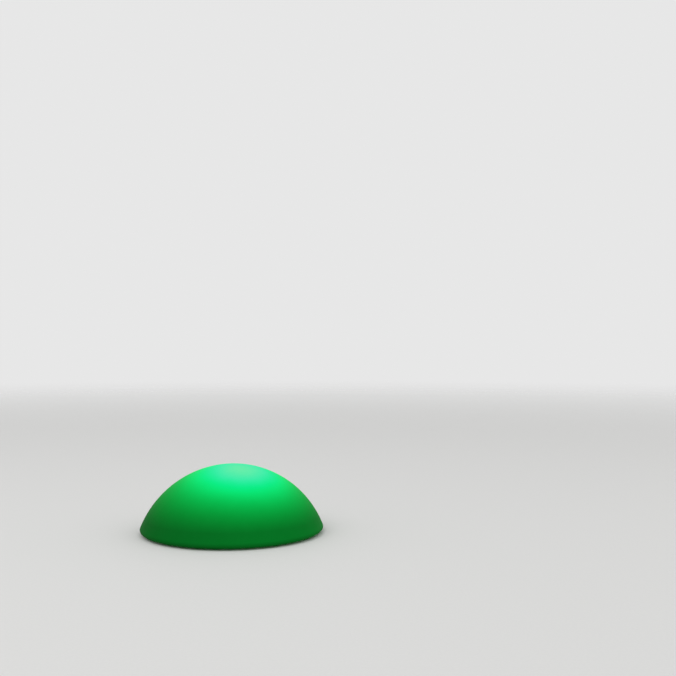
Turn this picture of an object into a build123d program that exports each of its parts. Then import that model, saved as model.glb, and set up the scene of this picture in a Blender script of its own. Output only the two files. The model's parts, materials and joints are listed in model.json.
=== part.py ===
from build123d import *

import os
from math import cos, hypot, radians, sin, sqrt

# LED dome light: a low translucent dome, lit from inside, that stands on the ground.
#
# The dome is one hollow moulding in milky polyethylene. Its flat underside has a recess
# with a round opening, and a sealed light unit is screwed into that opening from below.
# The light unit is a flanged tub that holds a battery, a control board, a heat plate
# with the LED board, and a frosted cover. A push button and a charging socket with a
# rubber cap face down. Millimetres, +Z up, the origin on the floor on the dome's axis.

os.makedirs("parts", exist_ok=True)

# Clearances: fixed fits and shafts, loose holes, and faces that only just miss
fit_gap = 0.1
loose_gap = 0.3
hair_gap = 0.05

# Dome shell
shell_diameter = 330.0
overall_height = 122.0
foot_gap = 3.0
shell_wall = 3.0
edge_radius = 6.0
recess_depth = 9.0
recess_corner = 2.0
recess_side_gap = 3.0

# Rubber feet in their shallow pockets, midway between the recess and the edge
foot_diameter = 20.0
foot_count = 4
foot_pocket_depth = 1.0
foot_chamfer = 0.8

# Flange screws, and the brass inserts in the shell that take them
flange_screw_count = 6
flange_screw_diameter = 4.0
flange_screw_head = (8.0, 2.4)
flange_screw_end_gap = 0.5
insert_wall = 1.1
insert_length = 8.0
insert_groove_depth = 0.5
insert_groove_width = 2.0
insert_boss_wall = 2.4

# Tub of the light unit
flange_land = 19.0
flange_thickness = 3.0
gasket_thickness = 1.5
gasket_inset = 1.0
tub_wall = 2.5
tub_inside_gap = 3.1
tub_side_gap = 3.0

# Frosted cover over the LEDs
cover_rise = 16.5
cover_wall = 2.0
cover_flange_thickness = 2.5
cover_head_gap = 0.5
cover_gasket_thickness = 1.0
cover_gasket_width = 3.5
cover_boss_diameter = 8.0
cover_boss_inset = 0.5
cover_screw_count = 4

# Small screws: diameter, length, head diameter, head height
cover_screw_size = (3.0, 10.0, 6.0, 2.0)
plate_screw_size = (3.0, 8.0, 6.0, 2.0)
led_screw_size = (3.0, 5.0, 5.6, 1.8)
bracket_screw_size = (3.0, 8.0, 5.6, 1.8)
board_screw_size = (2.5, 6.0, 4.5, 1.6)
screw_cross_share = 0.55
screw_cross_width = 0.8

# Heat plate on its posts
plate_air_gap = 6.0
plate_drop = 6.0
plate_thickness = 2.0
plate_rim_gap = 1.0
plate_post_diameter = 7.0
plate_post_inset = 2.0
plate_post_angles = (65, 115, 212, 318)

# LED board, its pad, the LEDs and the remote control's receiver
pad_thickness = 0.5
pad_inset = 1.0
led_board_side_gap = 2.0
led_board_thickness = 1.6
led_screw_inset = 4.0
led_screw_count = 4
led_size = 5.0
led_height = 1.6
led_corner = 0.5
led_window_diameter = 4.0
led_window_depth = 0.2
outer_led_count = 12
outer_led_ring = 60.0
inner_led_count = 6
inner_led_ring = 28.0
led_header_gap = 2.0
receiver_width = 5.6
receiver_depth = 4.8
receiver_height = 5.0
receiver_corner = 0.6

# Battery pack
cell_diameter = 18.5
cell_length = 65.0
cell_cap_diameter = 6.2
cell_cap_height = 1.0
cell_gap = 0.2
pack_y = 17.25
pack_lift = 1.4
wrap_thickness = 0.3
protection_thickness = 2.0
protection_width = 30.0
protection_height = 8.0
strip_thickness = 0.3
strip_width = 6.0
cradle_rib_spacing = 40.0
cradle_rib_thickness = 2.5
cradle_rib_height = 6.0
foam_thickness = 1.0
foam_end_gap = 4.0
bracket_width = 14.0
bracket_thickness = 2.0
bracket_side_gap = 1.0
bracket_ear = 7.0
bracket_boss_height = 5.5

# Control board and what is soldered on it
board_width = 42.0
board_depth = 32.0
board_thickness = 1.6
board_corner = 2.0
board_x = -11.0
board_y = -20.0
board_screw_inset = 3.5
board_screw_rows = 2
standoff_diameter = 6.0
driver_size = (4.2, 5.4, 2.2)
driver_side = 4.0
driver_header_gap = 0.3
driver_count = 4
driver_pitch = 5.4
chip_size = (10.0, 4.0, 1.6)
chip_side = 2.0
chip_driver_distance = 10.0
chip_leg_count = 8
chip_leg_pitch = 1.27
chip_leg_size = (0.45, 1.2, 0.8)
coil_size = 6.0
coil_height = 3.0
coil_corner = 1.4
coil_groove = (5.0, 3.8, 0.6)
coil_screw_gap = 1.25
coil_edge_gap = 2.5
capacitor_diameter = 5.0
capacitor_height = 7.0
capacitor_edge = 0.4
capacitor_gap = 1.0
capacitor_coil_gap = 0.5
capacitor_edge_gap = 1.5

# Wire headers with their plugs
header_width = 6.4
header_depth = 6.0
header_height = 5.0
header_wall = 0.8
plug_proud = 0.8
battery_header_screw_gap = 0.55
ribbon_side = -1.5

# Wires inside the light unit
wire_diameter = 1.3
lead_pitch = 2.4
ribbon_count = 5
ribbon_pitch = 1.6
lead_slot_width = 3.4
lead_slot_gap = 0.6
lead_slot_end_gap = 1.2
lead_bend_reach = 8.0
lead_bend_corner = (3.0, 5.0)
lead_drop = 2.0
socket_lead_rise = (5.0, 8.0)
socket_lead_reach = 6.0
socket_lead_landing = 3.0

# Power button and its latching switch
button_inset = 8.0
button_travel = 1.5
button_diameter = 14.4
button_edge = 0.8
button_pocket_depth = 4.0
pocket_wall = 2.5
pocket_roof = 2.5
button_proud = 2.2
stem_diameter = 6.0
stem_above = 2.3
well_depth = 2.8
clip_thickness = 0.6
clip_width = 1.8
seal_wire = 1.0
spring_wire = 0.5
spring_diameter = 9.4
spring_turns = 4
mark_diameter = 5.8
mark_line = 0.7
mark_depth = 0.3
switch_size = 8.0
switch_air_gap = 1.2
plunger_diameter = 3.0
plunger_depth = 5.0

# Charging socket
socket_x = 24.0
socket_y = -20.0
socket_bore = 5.6
socket_bore_depth = 9.0
pin_diameter = 2.1
pin_inset = 1.0
pin_root = 2.0
barrel_diameter = 8.0
barrel_length = 12.0
bezel_diameter = 10.8
bezel_thickness = 1.2
socket_seal_thickness = 0.5
nut_width = 11.0
nut_thickness = 2.5
lug_size = (2.2, 0.6, 3.0)
socket_pocket_diameter = 16.0
socket_pocket_depth = 4.5

# Rubber cap of the socket, on a strap
cap_sheet = 0.8
cap_diameter = 18.8
cap_plug_gap = 0.25
cap_plug_taper = 0.5
cap_hinge_distance = 13.0
strap_width = 7.0
tab_reach = 4.0
tab_ridge = (1.2, 4.9, 0.8)
tab_ridge_inset = 1.8
anchor_length = 8.0
anchor_stem = 3.0
anchor_bulb = 4.6
anchor_tip = 2.0
anchor_bulb_height = 1.8

# Charge light and its light pipe
pipe_side_inset = 10.0
pipe_front_inset = 6.0
pipe_diameter = 3.0
pipe_rim = 0.6
charge_light_size = (3.2, 2.6, 2.3)
charge_light_corner = 0.4

# Battery pack: its length, its section and how far its corner lies from the axis
cell_spacing = cell_diameter + cell_gap
pack_length = protection_thickness + cell_length + strip_thickness
pack_radius = cell_diameter / 2 + wrap_thickness
pack_corner_reach = hypot(pack_length / 2, pack_y + cell_spacing / 2 + pack_radius)

# Diameters from the battery pack outwards: tub, opening, flange, recess, feet
tub_inner = pack_corner_reach + tub_inside_gap
tub_outer = tub_inner + tub_wall
opening_radius = tub_outer + tub_side_gap
flange_radius = opening_radius + flange_land
recess_radius = flange_radius + recess_side_gap
flange_screw_ring = opening_radius + flange_land / 2
insert_radius = flange_screw_diameter / 2 + fit_gap + insert_wall
shell_radius = shell_diameter / 2
edge_centre = shell_radius - edge_radius
foot_ring = (recess_radius + edge_centre) / 2

# Levels above the floor, from the recess downwards and upwards
recess_z = foot_gap + recess_depth
flange_top = recess_z - gasket_thickness
flange_bottom = flange_top - flange_thickness
cell_z = flange_top + pack_lift + pack_radius
pack_top = cell_z + pack_radius
bracket_roof = pack_top + foam_thickness
plate_z = bracket_roof + bracket_thickness + plate_air_gap
plate_top = plate_z + plate_thickness
led_board_z = plate_top + pad_thickness
led_z = led_board_z + led_board_thickness
tub_rim = plate_z + plate_drop

# Edges of the control board, and the row of its screws along the back
board_left = board_x - board_width / 2
board_right = board_x + board_width / 2
board_front = board_y - board_depth / 2
board_back = board_y + board_depth / 2
board_screw_reach = board_screw_inset + board_screw_size[2] / 2

# Power button: its place and the levels of its stack up to the control board
button_x = board_left + button_inset
button_y = board_y
button_roof = flange_bottom + button_pocket_depth
button_cup_top = button_roof + pocket_roof
stem_top = button_cup_top + stem_above
switch_z = stem_top + button_travel + switch_air_gap
board_z = switch_z + switch_size
board_top = board_z + board_thickness
header_z = board_top + header_height / 2

# The dome's outside is a cap of a sphere that runs tangent into the rounded edge
edge_z = foot_gap + edge_radius
cap_rise = overall_height - edge_z
cap_radius = (edge_centre**2 + cap_rise**2 - edge_radius**2) / (2 * (cap_rise - edge_radius))
cap_centre = overall_height - cap_radius
underside_reach = sqrt(cap_radius**2 - (foot_gap - cap_centre) ** 2)


def pan_screw(size):
    """A cross-recess pan-head screw: the head's flat face at the origin, the shank up +Z."""
    diameter, length, head_diameter, head_height = size
    with BuildPart() as screw:
        with BuildSketch(Plane.XY.offset(-head_height)):
            Circle(head_diameter / 2)
        extrude(amount=head_height)
        fillet(screw.faces().sort_by(Axis.Z)[0].edges(), head_height * 0.45)
        with BuildSketch(Plane.XY):
            Circle(diameter / 2)
        extrude(amount=length)
        chamfer(screw.faces().sort_by(Axis.Z)[-1].edges(), diameter * 0.15)
        with BuildSketch(Plane.XY.offset(-head_height)):
            Rectangle(head_diameter * screw_cross_share, screw_cross_width)
            Rectangle(screw_cross_width, head_diameter * screw_cross_share)
        extrude(amount=head_height * 0.6, mode=Mode.SUBTRACT)
    return screw.part


def header(width):
    """A plug-in wire header: a box centred on the origin, its mouth towards +X."""
    with BuildPart() as shell:
        Box(header_depth, width, header_height)
        with Locations((header_wall, 0, 0)):
            Box(
                header_depth,
                width - 2 * header_wall,
                header_height - 2 * header_wall,
                mode=Mode.SUBTRACT,
            )
    return shell.part


def plug(width):
    """The wires' plug in such a header, which stands a little proud of its mouth."""
    plug_length = header_depth - header_wall - fit_gap + plug_proud
    with BuildPart() as block:
        with Locations((header_depth / 2 + plug_proud - plug_length / 2, 0, 0)):
            Box(
                plug_length,
                width - 2 * header_wall - 2 * fit_gap,
                header_height - 2 * header_wall - 2 * fit_gap,
            )
    return block.part


def corner_radii(points):
    """One radius for each corner of a wire's route: 0.45 of its shorter run, by the turn."""
    route = [Vector(*point) for point in points]
    radii = []
    for before, here, after in zip(route, route[1:], route[2:]):
        half_turn = radians((here - before).get_angle(after - here) / 2)
        shorter = min((here - before).length, (after - here).length)
        radii.append(0.45 * shorter * cos(half_turn) / sin(half_turn))
    return radii


def wire(points):
    """A wire along the points, in straight runs joined by tangent arcs."""
    with BuildPart() as strand:
        with BuildLine() as route:
            FilletPolyline(*points, radius=corner_radii(points))
        with BuildSketch(Plane(route.line @ 0, z_dir=route.line % 0)):
            Circle(wire_diameter / 2)
        sweep(path=route.line)
    return strand.part


def polar(distance, angle):
    """The point at a distance and an angle from the axis."""
    return (distance * cos(radians(angle)), distance * sin(radians(angle)))


def save(piece, name):
    """Labels a finished piece and writes its STEP file."""
    piece.part.label = name
    export_step(piece.part, f"parts/{name}.step")


# The dome shell: one hollow moulding, open only where the light unit goes in
with BuildPart() as dome_shell:
    with BuildSketch(Plane.XZ) as shell_section:
        with BuildLine():
            ThreePointArc(
                (-underside_reach, foot_gap), (0, overall_height), (underside_reach, foot_gap)
            )
            Polyline(
                (underside_reach, foot_gap),
                (recess_radius, foot_gap),
                (recess_radius, recess_z),
                (-recess_radius, recess_z),
                (-recess_radius, foot_gap),
                (-underside_reach, foot_gap),
            )
        make_face()
        section_corners = shell_section.vertices().sort_by(Axis.X)
        fillet([section_corners[0], section_corners[-1]], edge_radius)
        recess_corners = shell_section.vertices().filter_by(
            lambda corner: abs(abs(corner.X) - recess_radius) < hair_gap
        )
        fillet(recess_corners, recess_corner)
        offset(amount=-shell_wall, mode=Mode.SUBTRACT)
        with Locations((0, recess_z)):
            Rectangle(2 * opening_radius, 4 * shell_wall, mode=Mode.SUBTRACT)
        with Locations((-shell_diameter, overall_height / 2)):
            Rectangle(2 * shell_diameter, 2 * overall_height, mode=Mode.SUBTRACT)
    revolve(axis=Axis.Z)
    with BuildSketch(Plane.XY.offset(recess_z)):
        with PolarLocations(flange_screw_ring, flange_screw_count):
            Circle(insert_radius + insert_boss_wall)
    extrude(amount=insert_length + insert_boss_wall)
    with BuildSketch(Plane.XY.offset(recess_z)):
        with PolarLocations(flange_screw_ring, flange_screw_count):
            Circle(insert_radius)
    extrude(amount=insert_length, mode=Mode.SUBTRACT)
    with BuildSketch(Plane.XY.offset(foot_gap)):
        with PolarLocations(foot_ring, foot_count, start_angle=45):
            Circle(foot_diameter / 2 + loose_gap)
    extrude(amount=foot_pocket_depth, mode=Mode.SUBTRACT)
save(dome_shell, "dome_shell")

# Four rubber feet, stuck into the pockets of the underside
with BuildPart() as rubber_feet:
    with BuildSketch():
        with PolarLocations(foot_ring, foot_count, start_angle=45):
            Circle(foot_diameter / 2)
    extrude(amount=foot_gap + foot_pocket_depth)
    chamfer(rubber_feet.edges().group_by(Axis.Z)[0], foot_chamfer)
save(rubber_feet, "rubber_feet")

# Threaded brass inserts, plain in the bore at the thread's outer size
with BuildPart() as brass_inserts:
    with BuildSketch(Plane.XY.offset(recess_z)):
        with PolarLocations(flange_screw_ring, flange_screw_count):
            Circle(insert_radius)
            Circle(flange_screw_diameter / 2 + fit_gap, mode=Mode.SUBTRACT)
    extrude(amount=insert_length)
    with BuildSketch(Plane.XY.offset(recess_z + (insert_length - insert_groove_width) / 2)):
        with PolarLocations(flange_screw_ring, flange_screw_count):
            Circle(insert_radius)
            Circle(insert_radius - insert_groove_depth, mode=Mode.SUBTRACT)
    extrude(amount=insert_groove_width, mode=Mode.SUBTRACT)
save(brass_inserts, "brass_inserts")

# Flange screws, driven from below through the flange and the gasket
flange_screw_length = flange_thickness + gasket_thickness + insert_length - flange_screw_end_gap
flange_screw = pan_screw((flange_screw_diameter, flange_screw_length, *flange_screw_head))
with BuildPart() as flange_screws:
    with Locations((0, 0, flange_bottom)):
        with PolarLocations(flange_screw_ring, flange_screw_count):
            add(flange_screw)
save(flange_screws, "flange_screws")

# Flat silicone gasket between the flange and the shell
with BuildPart() as flange_gasket:
    with BuildSketch(Plane.XY.offset(flange_top)):
        Circle(flange_radius - gasket_inset)
        Circle(opening_radius, mode=Mode.SUBTRACT)
        with PolarLocations(flange_screw_ring, flange_screw_count):
            Circle(flange_screw_diameter / 2 + loose_gap, mode=Mode.SUBTRACT)
    extrude(amount=gasket_thickness)
save(flange_gasket, "flange_gasket")

# The light unit's tub, with bosses, posts, cradle ribs and two pockets in its floor
cover_boss_ring = tub_outer - cover_boss_inset - cover_boss_diameter / 2
plate_post_ring = tub_inner - plate_post_inset - plate_post_diameter / 2
plate_posts = [polar(plate_post_ring, angle) for angle in plate_post_angles]
standoff_grid = (board_width - 2 * board_screw_inset, board_depth - 2 * board_screw_inset)
bracket_inside = pack_length / 2 + bracket_side_gap
bracket_hole = bracket_inside + bracket_thickness + bracket_ear / 2
bracket_seat = flange_top + bracket_boss_height
bracket_holes = [(-bracket_hole, pack_y), (bracket_hole, pack_y)]
button_pocket_radius = button_diameter / 2 + loose_gap
socket_roof = flange_bottom + socket_pocket_depth
socket_cup_top = socket_roof + pocket_roof
pipe_x = board_right - pipe_side_inset
pipe_y = board_front + pipe_front_inset
hinge_x = socket_x + cap_hinge_distance
anchor_x = hinge_x + anchor_length / 2
with BuildPart() as tub:
    with BuildSketch(Plane.XY.offset(flange_bottom)):
        Circle(flange_radius)
        with PolarLocations(flange_screw_ring, flange_screw_count):
            Circle(flange_screw_diameter / 2 + loose_gap, mode=Mode.SUBTRACT)
    extrude(amount=flange_thickness)
    fillet(tub.faces().sort_by(Axis.Z)[0].outer_wire().edges(), flange_thickness / 3)
    with BuildSketch(Plane.XY.offset(flange_top)) as wall_and_cover_bosses:
        Circle(tub_outer)
        Circle(tub_inner, mode=Mode.SUBTRACT)
        with PolarLocations(cover_boss_ring, cover_screw_count):
            Circle(cover_boss_diameter / 2)
    extrude(amount=tub_rim - flange_top)
    with BuildSketch(Plane.XY.offset(flange_top)) as heat_plate_posts:
        with Locations(*plate_posts):
            Circle(plate_post_diameter / 2)
    extrude(amount=plate_z - flange_top)
    with BuildSketch(Plane.XY.offset(flange_top)) as standoffs:
        with Locations((board_x, board_y)):
            with GridLocations(*standoff_grid, board_screw_rows, board_screw_rows):
                Circle(standoff_diameter / 2)
    extrude(amount=board_z - flange_top)
    with BuildSketch(Plane.XY.offset(flange_top)) as bracket_bosses:
        with Locations(*bracket_holes):
            Circle(bracket_ear / 2 - fit_gap)
    extrude(amount=bracket_boss_height)
    with BuildSketch(Plane.XY.offset(flange_bottom)) as button_cup:
        with Locations((button_x, button_y)):
            Circle(button_pocket_radius + pocket_wall)
    extrude(amount=button_cup_top - flange_bottom)
    with BuildSketch(Plane.XY.offset(flange_bottom)) as socket_cup:
        with Locations((socket_x, socket_y)):
            Circle(socket_pocket_diameter / 2 + pocket_wall)
    extrude(amount=socket_cup_top - flange_bottom)
    with BuildSketch(Plane.XY.offset(flange_top)) as cradle_ribs:
        with Locations((0, pack_y)):
            with GridLocations(cradle_rib_spacing, 0, 2, 1):
                Rectangle(cradle_rib_thickness, cell_spacing + 2 * pack_radius)
    extrude(amount=cradle_rib_height)
    with BuildSketch(Plane.YZ.offset(-pack_length)) as pack_clearance:
        with Locations((pack_y, cell_z)):
            SlotCenterToCenter(cell_spacing, 2 * (pack_radius + fit_gap))
    extrude(amount=2 * pack_length, mode=Mode.SUBTRACT)
    with BuildSketch(Plane.XY.offset(flange_bottom)) as button_pocket:
        with Locations((button_x, button_y)):
            Circle(button_pocket_radius)
    extrude(amount=button_pocket_depth, mode=Mode.SUBTRACT)
    with BuildSketch(Plane.XY.offset(flange_bottom)) as socket_pocket:
        with Locations((socket_x, socket_y)):
            Circle(socket_pocket_diameter / 2)
    extrude(amount=socket_pocket_depth, mode=Mode.SUBTRACT)
    with BuildSketch(Plane.XY.offset(flange_bottom)) as floor_holes:
        with Locations((button_x, button_y)):
            Circle(stem_diameter / 2 + fit_gap)
        with Locations((socket_x, socket_y)):
            Circle(barrel_diameter / 2 + fit_gap)
        with Locations((pipe_x, pipe_y)):
            Circle(pipe_diameter / 2 + fit_gap)
        with Locations((anchor_x, socket_y)):
            Circle(anchor_stem / 2 + fit_gap)
    extrude(amount=socket_cup_top - flange_bottom, mode=Mode.SUBTRACT)
    with BuildSketch(Plane.XY.offset(tub_rim - cover_screw_size[1])) as cover_screw_holes:
        with PolarLocations(cover_boss_ring, cover_screw_count):
            Circle(cover_screw_size[0] / 2 + fit_gap)
    extrude(amount=cover_screw_size[1], mode=Mode.SUBTRACT)
    with BuildSketch(Plane.XY.offset(plate_z - plate_screw_size[1])) as plate_screw_holes:
        with Locations(*plate_posts):
            Circle(plate_screw_size[0] / 2 + fit_gap)
    extrude(amount=plate_screw_size[1], mode=Mode.SUBTRACT)
    with BuildSketch(Plane.XY.offset(board_z - board_screw_size[1])) as board_screw_holes:
        with Locations((board_x, board_y)):
            with GridLocations(*standoff_grid, board_screw_rows, board_screw_rows):
                Circle(board_screw_size[0] / 2 + fit_gap)
    extrude(amount=board_screw_size[1], mode=Mode.SUBTRACT)
    bracket_hole_depth = bracket_screw_size[1] - bracket_thickness + fit_gap
    with BuildSketch(Plane.XY.offset(bracket_seat - bracket_hole_depth)) as bracket_screw_holes:
        with Locations(*bracket_holes):
            Circle(bracket_screw_size[0] / 2 + fit_gap)
    extrude(amount=bracket_hole_depth, mode=Mode.SUBTRACT)
save(tub, "light_unit_tub")

# Silicone ring under the cover, with an eared hole at each screw
with BuildPart() as cover_gasket:
    with BuildSketch(Plane.XY.offset(tub_rim)):
        Circle(tub_outer)
        Circle(tub_outer - cover_gasket_width, mode=Mode.SUBTRACT)
        with PolarLocations(cover_boss_ring, cover_screw_count):
            Circle(cover_boss_diameter / 2)
        with PolarLocations(cover_boss_ring, cover_screw_count):
            Circle(cover_screw_size[0] / 2 + loose_gap, mode=Mode.SUBTRACT)
    extrude(amount=cover_gasket_thickness)
save(cover_gasket, "cover_gasket")

# Frosted cover: a flat ring with a shallow dome inside the circle of its screw heads
cover_z = tub_rim + cover_gasket_thickness
cover_seat = cover_z + cover_flange_thickness
cover_foot = cover_boss_ring - cover_screw_size[2] / 2 - cover_head_gap
cover_inner = cover_foot - cover_wall
with BuildPart() as led_cover:
    with BuildSketch(Plane.XZ):
        with BuildLine():
            SagittaArc((cover_foot, cover_seat), (-cover_foot, cover_seat), -cover_rise)
            Line((-cover_foot, cover_seat), (cover_foot, cover_seat))
        make_face()
        with Locations((0, cover_z + cover_flange_thickness / 2)):
            Rectangle(2 * tub_outer, cover_flange_thickness)
        with BuildLine():
            SagittaArc((cover_inner, cover_seat), (-cover_inner, cover_seat), cover_wall - cover_rise)
            Line((-cover_inner, cover_seat), (cover_inner, cover_seat))
        make_face(mode=Mode.SUBTRACT)
        with Locations((0, cover_z + cover_flange_thickness / 2)):
            Rectangle(2 * cover_inner, cover_flange_thickness, mode=Mode.SUBTRACT)
        with Locations((-2 * tub_outer, cover_z)):
            Rectangle(4 * tub_outer, 4 * (cover_rise + cover_flange_thickness), mode=Mode.SUBTRACT)
    revolve(axis=Axis.Z)
    with BuildSketch(Plane.XY.offset(cover_z)):
        with PolarLocations(cover_boss_ring, cover_screw_count):
            Circle(cover_screw_size[0] / 2 + loose_gap)
    extrude(amount=cover_flange_thickness, mode=Mode.SUBTRACT)
save(led_cover, "led_cover")

cover_screw = pan_screw(cover_screw_size)
with BuildPart() as cover_screws:
    with Locations((0, 0, cover_seat)):
        with PolarLocations(cover_boss_ring, cover_screw_count):
            add(cover_screw, rotation=(180, 0, 0))
save(cover_screws, "cover_screws")

# Aluminium heat plate on four posts, notched round the cover's bosses
led_board_radius = plate_post_ring - plate_screw_size[2] / 2 - led_board_side_gap
led_screw_ring = led_board_radius - led_screw_inset
ribbon_width = ribbon_count * ribbon_pitch
ribbon_x = board_x + ribbon_side
lead_slot_y = -led_board_radius - lead_slot_gap
with BuildPart() as heat_plate:
    with BuildSketch(Plane.XY.offset(plate_z)):
        Circle(tub_inner - plate_rim_gap)
        with PolarLocations(cover_boss_ring, cover_screw_count):
            Circle(cover_boss_diameter / 2 + loose_gap, mode=Mode.SUBTRACT)
        with Locations(*plate_posts):
            Circle(plate_screw_size[0] / 2 + loose_gap, mode=Mode.SUBTRACT)
        with PolarLocations(led_screw_ring, led_screw_count, start_angle=45):
            Circle(led_screw_size[0] / 2 + fit_gap, mode=Mode.SUBTRACT)
        with Locations((ribbon_x, lead_slot_y)):
            SlotOverall(
                ribbon_width + lead_slot_width + 2 * lead_slot_end_gap - ribbon_pitch,
                lead_slot_width,
                mode=Mode.SUBTRACT,
            )
    extrude(amount=plate_thickness)
save(heat_plate, "heat_plate")

plate_screw = pan_screw(plate_screw_size)
with BuildPart() as plate_screws:
    with Locations((0, 0, plate_top)):
        with Locations(*plate_posts):
            add(plate_screw, rotation=(180, 0, 0))
save(plate_screws, "heat_plate_screws")

# Thermal pad and LED board
with BuildPart() as thermal_pad:
    with BuildSketch(Plane.XY.offset(plate_top)):
        Circle(led_board_radius - pad_inset)
        with PolarLocations(led_screw_ring, led_screw_count, start_angle=45):
            Circle(led_screw_size[0] / 2 + loose_gap, mode=Mode.SUBTRACT)
    extrude(amount=pad_thickness)
save(thermal_pad, "thermal_pad")

with BuildPart() as led_board:
    with BuildSketch(Plane.XY.offset(led_board_z)):
        Circle(led_board_radius)
        with PolarLocations(led_screw_ring, led_screw_count, start_angle=45):
            Circle(led_screw_size[0] / 2 + loose_gap, mode=Mode.SUBTRACT)
    extrude(amount=led_board_thickness)
save(led_board, "led_board")

led_screw = pan_screw(led_screw_size)
with BuildPart() as led_board_screws:
    with Locations((0, 0, led_z)):
        with PolarLocations(led_screw_ring, led_screw_count, start_angle=45):
            add(led_screw, rotation=(180, 0, 0))
save(led_board_screws, "led_board_screws")

# Four-colour LEDs in two rings, each with a round window
with BuildPart() as led_package:
    with BuildSketch(Plane.XY.offset(led_z)):
        RectangleRounded(led_size, led_size, led_corner)
    extrude(amount=led_height)
    with BuildSketch(Plane.XY.offset(led_z + led_height - led_window_depth)):
        Circle(led_window_diameter / 2)
    extrude(amount=led_window_depth, mode=Mode.SUBTRACT)
with BuildPart() as colour_leds:
    with PolarLocations(outer_led_ring / 2, outer_led_count):
        add(led_package.part)
    with PolarLocations(inner_led_ring / 2, inner_led_count):
        add(led_package.part)
save(colour_leds, "colour_leds")

# Receiver for the remote control, at the middle of the LED board
with BuildPart() as remote_receiver:
    with BuildSketch(Plane.XY.offset(led_z)):
        RectangleRounded(receiver_width, receiver_depth, receiver_corner)
    extrude(amount=receiver_height)
    with Locations((0, 0, led_z + receiver_height)):
        Sphere(receiver_depth / 2 - fit_gap)
save(remote_receiver, "remote_receiver")

# Two cells side by side, each with its raised positive cap
cells_start = protection_thickness - pack_length / 2
cell_body = cell_length - cell_cap_height
with BuildPart() as battery_cells:
    with BuildSketch(Plane.YZ.offset(cells_start)):
        with Locations((pack_y, cell_z)):
            with GridLocations(cell_spacing, 0, 2, 1):
                Circle(cell_diameter / 2)
    extrude(amount=cell_body)
    with BuildSketch(Plane.YZ.offset(cells_start + cell_body)):
        with Locations((pack_y, cell_z)):
            with GridLocations(cell_spacing, 0, 2, 1):
                Circle(cell_cap_diameter / 2)
    extrude(amount=cell_cap_height)
save(battery_cells, "battery_cells")

# Protection board on the cells' flat ends, and the strip that joins their caps
with BuildPart() as protection_board:
    with BuildSketch(Plane.YZ.offset(-pack_length / 2)):
        with Locations((pack_y, cell_z)):
            Rectangle(protection_width, protection_height)
    extrude(amount=protection_thickness)
save(protection_board, "battery_protection_board")

with BuildPart() as cell_strip:
    with BuildSketch(Plane.YZ.offset(pack_length / 2 - strip_thickness)):
        with Locations((pack_y, cell_z)):
            Rectangle(cell_spacing + cell_cap_diameter, strip_width)
    extrude(amount=strip_thickness)
save(cell_strip, "cell_strip")

# Shrink film round the pack
with BuildPart() as battery_wrap:
    with BuildSketch(Plane.YZ.offset(-pack_length / 2)):
        with Locations((pack_y, cell_z)):
            SlotCenterToCenter(cell_spacing, 2 * pack_radius)
            SlotCenterToCenter(cell_spacing, cell_diameter, mode=Mode.SUBTRACT)
    extrude(amount=pack_length)
save(battery_wrap, "battery_wrap")

# Foam strip and the bracket that holds the pack down
with BuildPart() as foam_strip:
    with BuildSketch(Plane.XY.offset(pack_top)):
        with Locations((0, pack_y)):
            Rectangle(pack_length - 2 * foam_end_gap, bracket_width)
    extrude(amount=foam_thickness)
save(foam_strip, "battery_foam")

bracket_top = bracket_roof + bracket_thickness
with BuildPart() as battery_bracket:
    with BuildSketch(Plane.XZ.offset(-pack_y - bracket_width / 2)):
        with Locations((0, (bracket_seat + bracket_top) / 2)):
            Rectangle(2 * (bracket_inside + bracket_thickness), bracket_top - bracket_seat)
        with Locations((0, bracket_seat + bracket_thickness / 2)):
            Rectangle(2 * (bracket_hole + bracket_ear / 2), bracket_thickness)
        with Locations((0, (bracket_seat + bracket_roof) / 2)):
            Rectangle(2 * bracket_inside, bracket_roof - bracket_seat, mode=Mode.SUBTRACT)
    extrude(amount=bracket_width)
    with BuildSketch(Plane.XY.offset(bracket_seat)):
        with Locations(*bracket_holes):
            Circle(bracket_screw_size[0] / 2 + loose_gap)
    extrude(amount=bracket_thickness, mode=Mode.SUBTRACT)
    fillet(battery_bracket.edges().filter_by(Axis.Y).group_by(Axis.Z)[-1], bracket_thickness / 2)
save(battery_bracket, "battery_bracket")

bracket_screw = pan_screw(bracket_screw_size)
with BuildPart() as bracket_screws:
    with Locations((0, 0, bracket_seat + bracket_thickness)):
        with Locations(*bracket_holes):
            add(bracket_screw, rotation=(180, 0, 0))
save(bracket_screws, "bracket_screws")

# Control board on its four standoffs
with BuildPart() as control_board:
    with BuildSketch(Plane.XY.offset(board_z)):
        with Locations((board_x, board_y)):
            RectangleRounded(board_width, board_depth, board_corner)
            with GridLocations(*standoff_grid, board_screw_rows, board_screw_rows):
                Circle(board_screw_size[0] / 2 + loose_gap, mode=Mode.SUBTRACT)
    extrude(amount=board_thickness)
save(control_board, "control_board")

board_screw = pan_screw(board_screw_size)
with BuildPart() as board_screws:
    with Locations((board_x, board_y, board_top)):
        with GridLocations(*standoff_grid, board_screw_rows, board_screw_rows):
            add(board_screw, rotation=(180, 0, 0))
save(board_screws, "control_board_screws")

# Transistors that drive the colours, one for each, behind the front wire header
driver_y = board_front + header_depth + driver_header_gap + driver_size[1] / 2
with BuildPart() as led_drivers:
    with BuildSketch(Plane.XY.offset(board_top)):
        with Locations((board_x + driver_side, driver_y)):
            with GridLocations(driver_pitch, 0, driver_count, 1):
                Rectangle(driver_size[0], driver_size[1])
    extrude(amount=driver_size[2])
save(led_drivers, "led_drivers")

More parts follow.
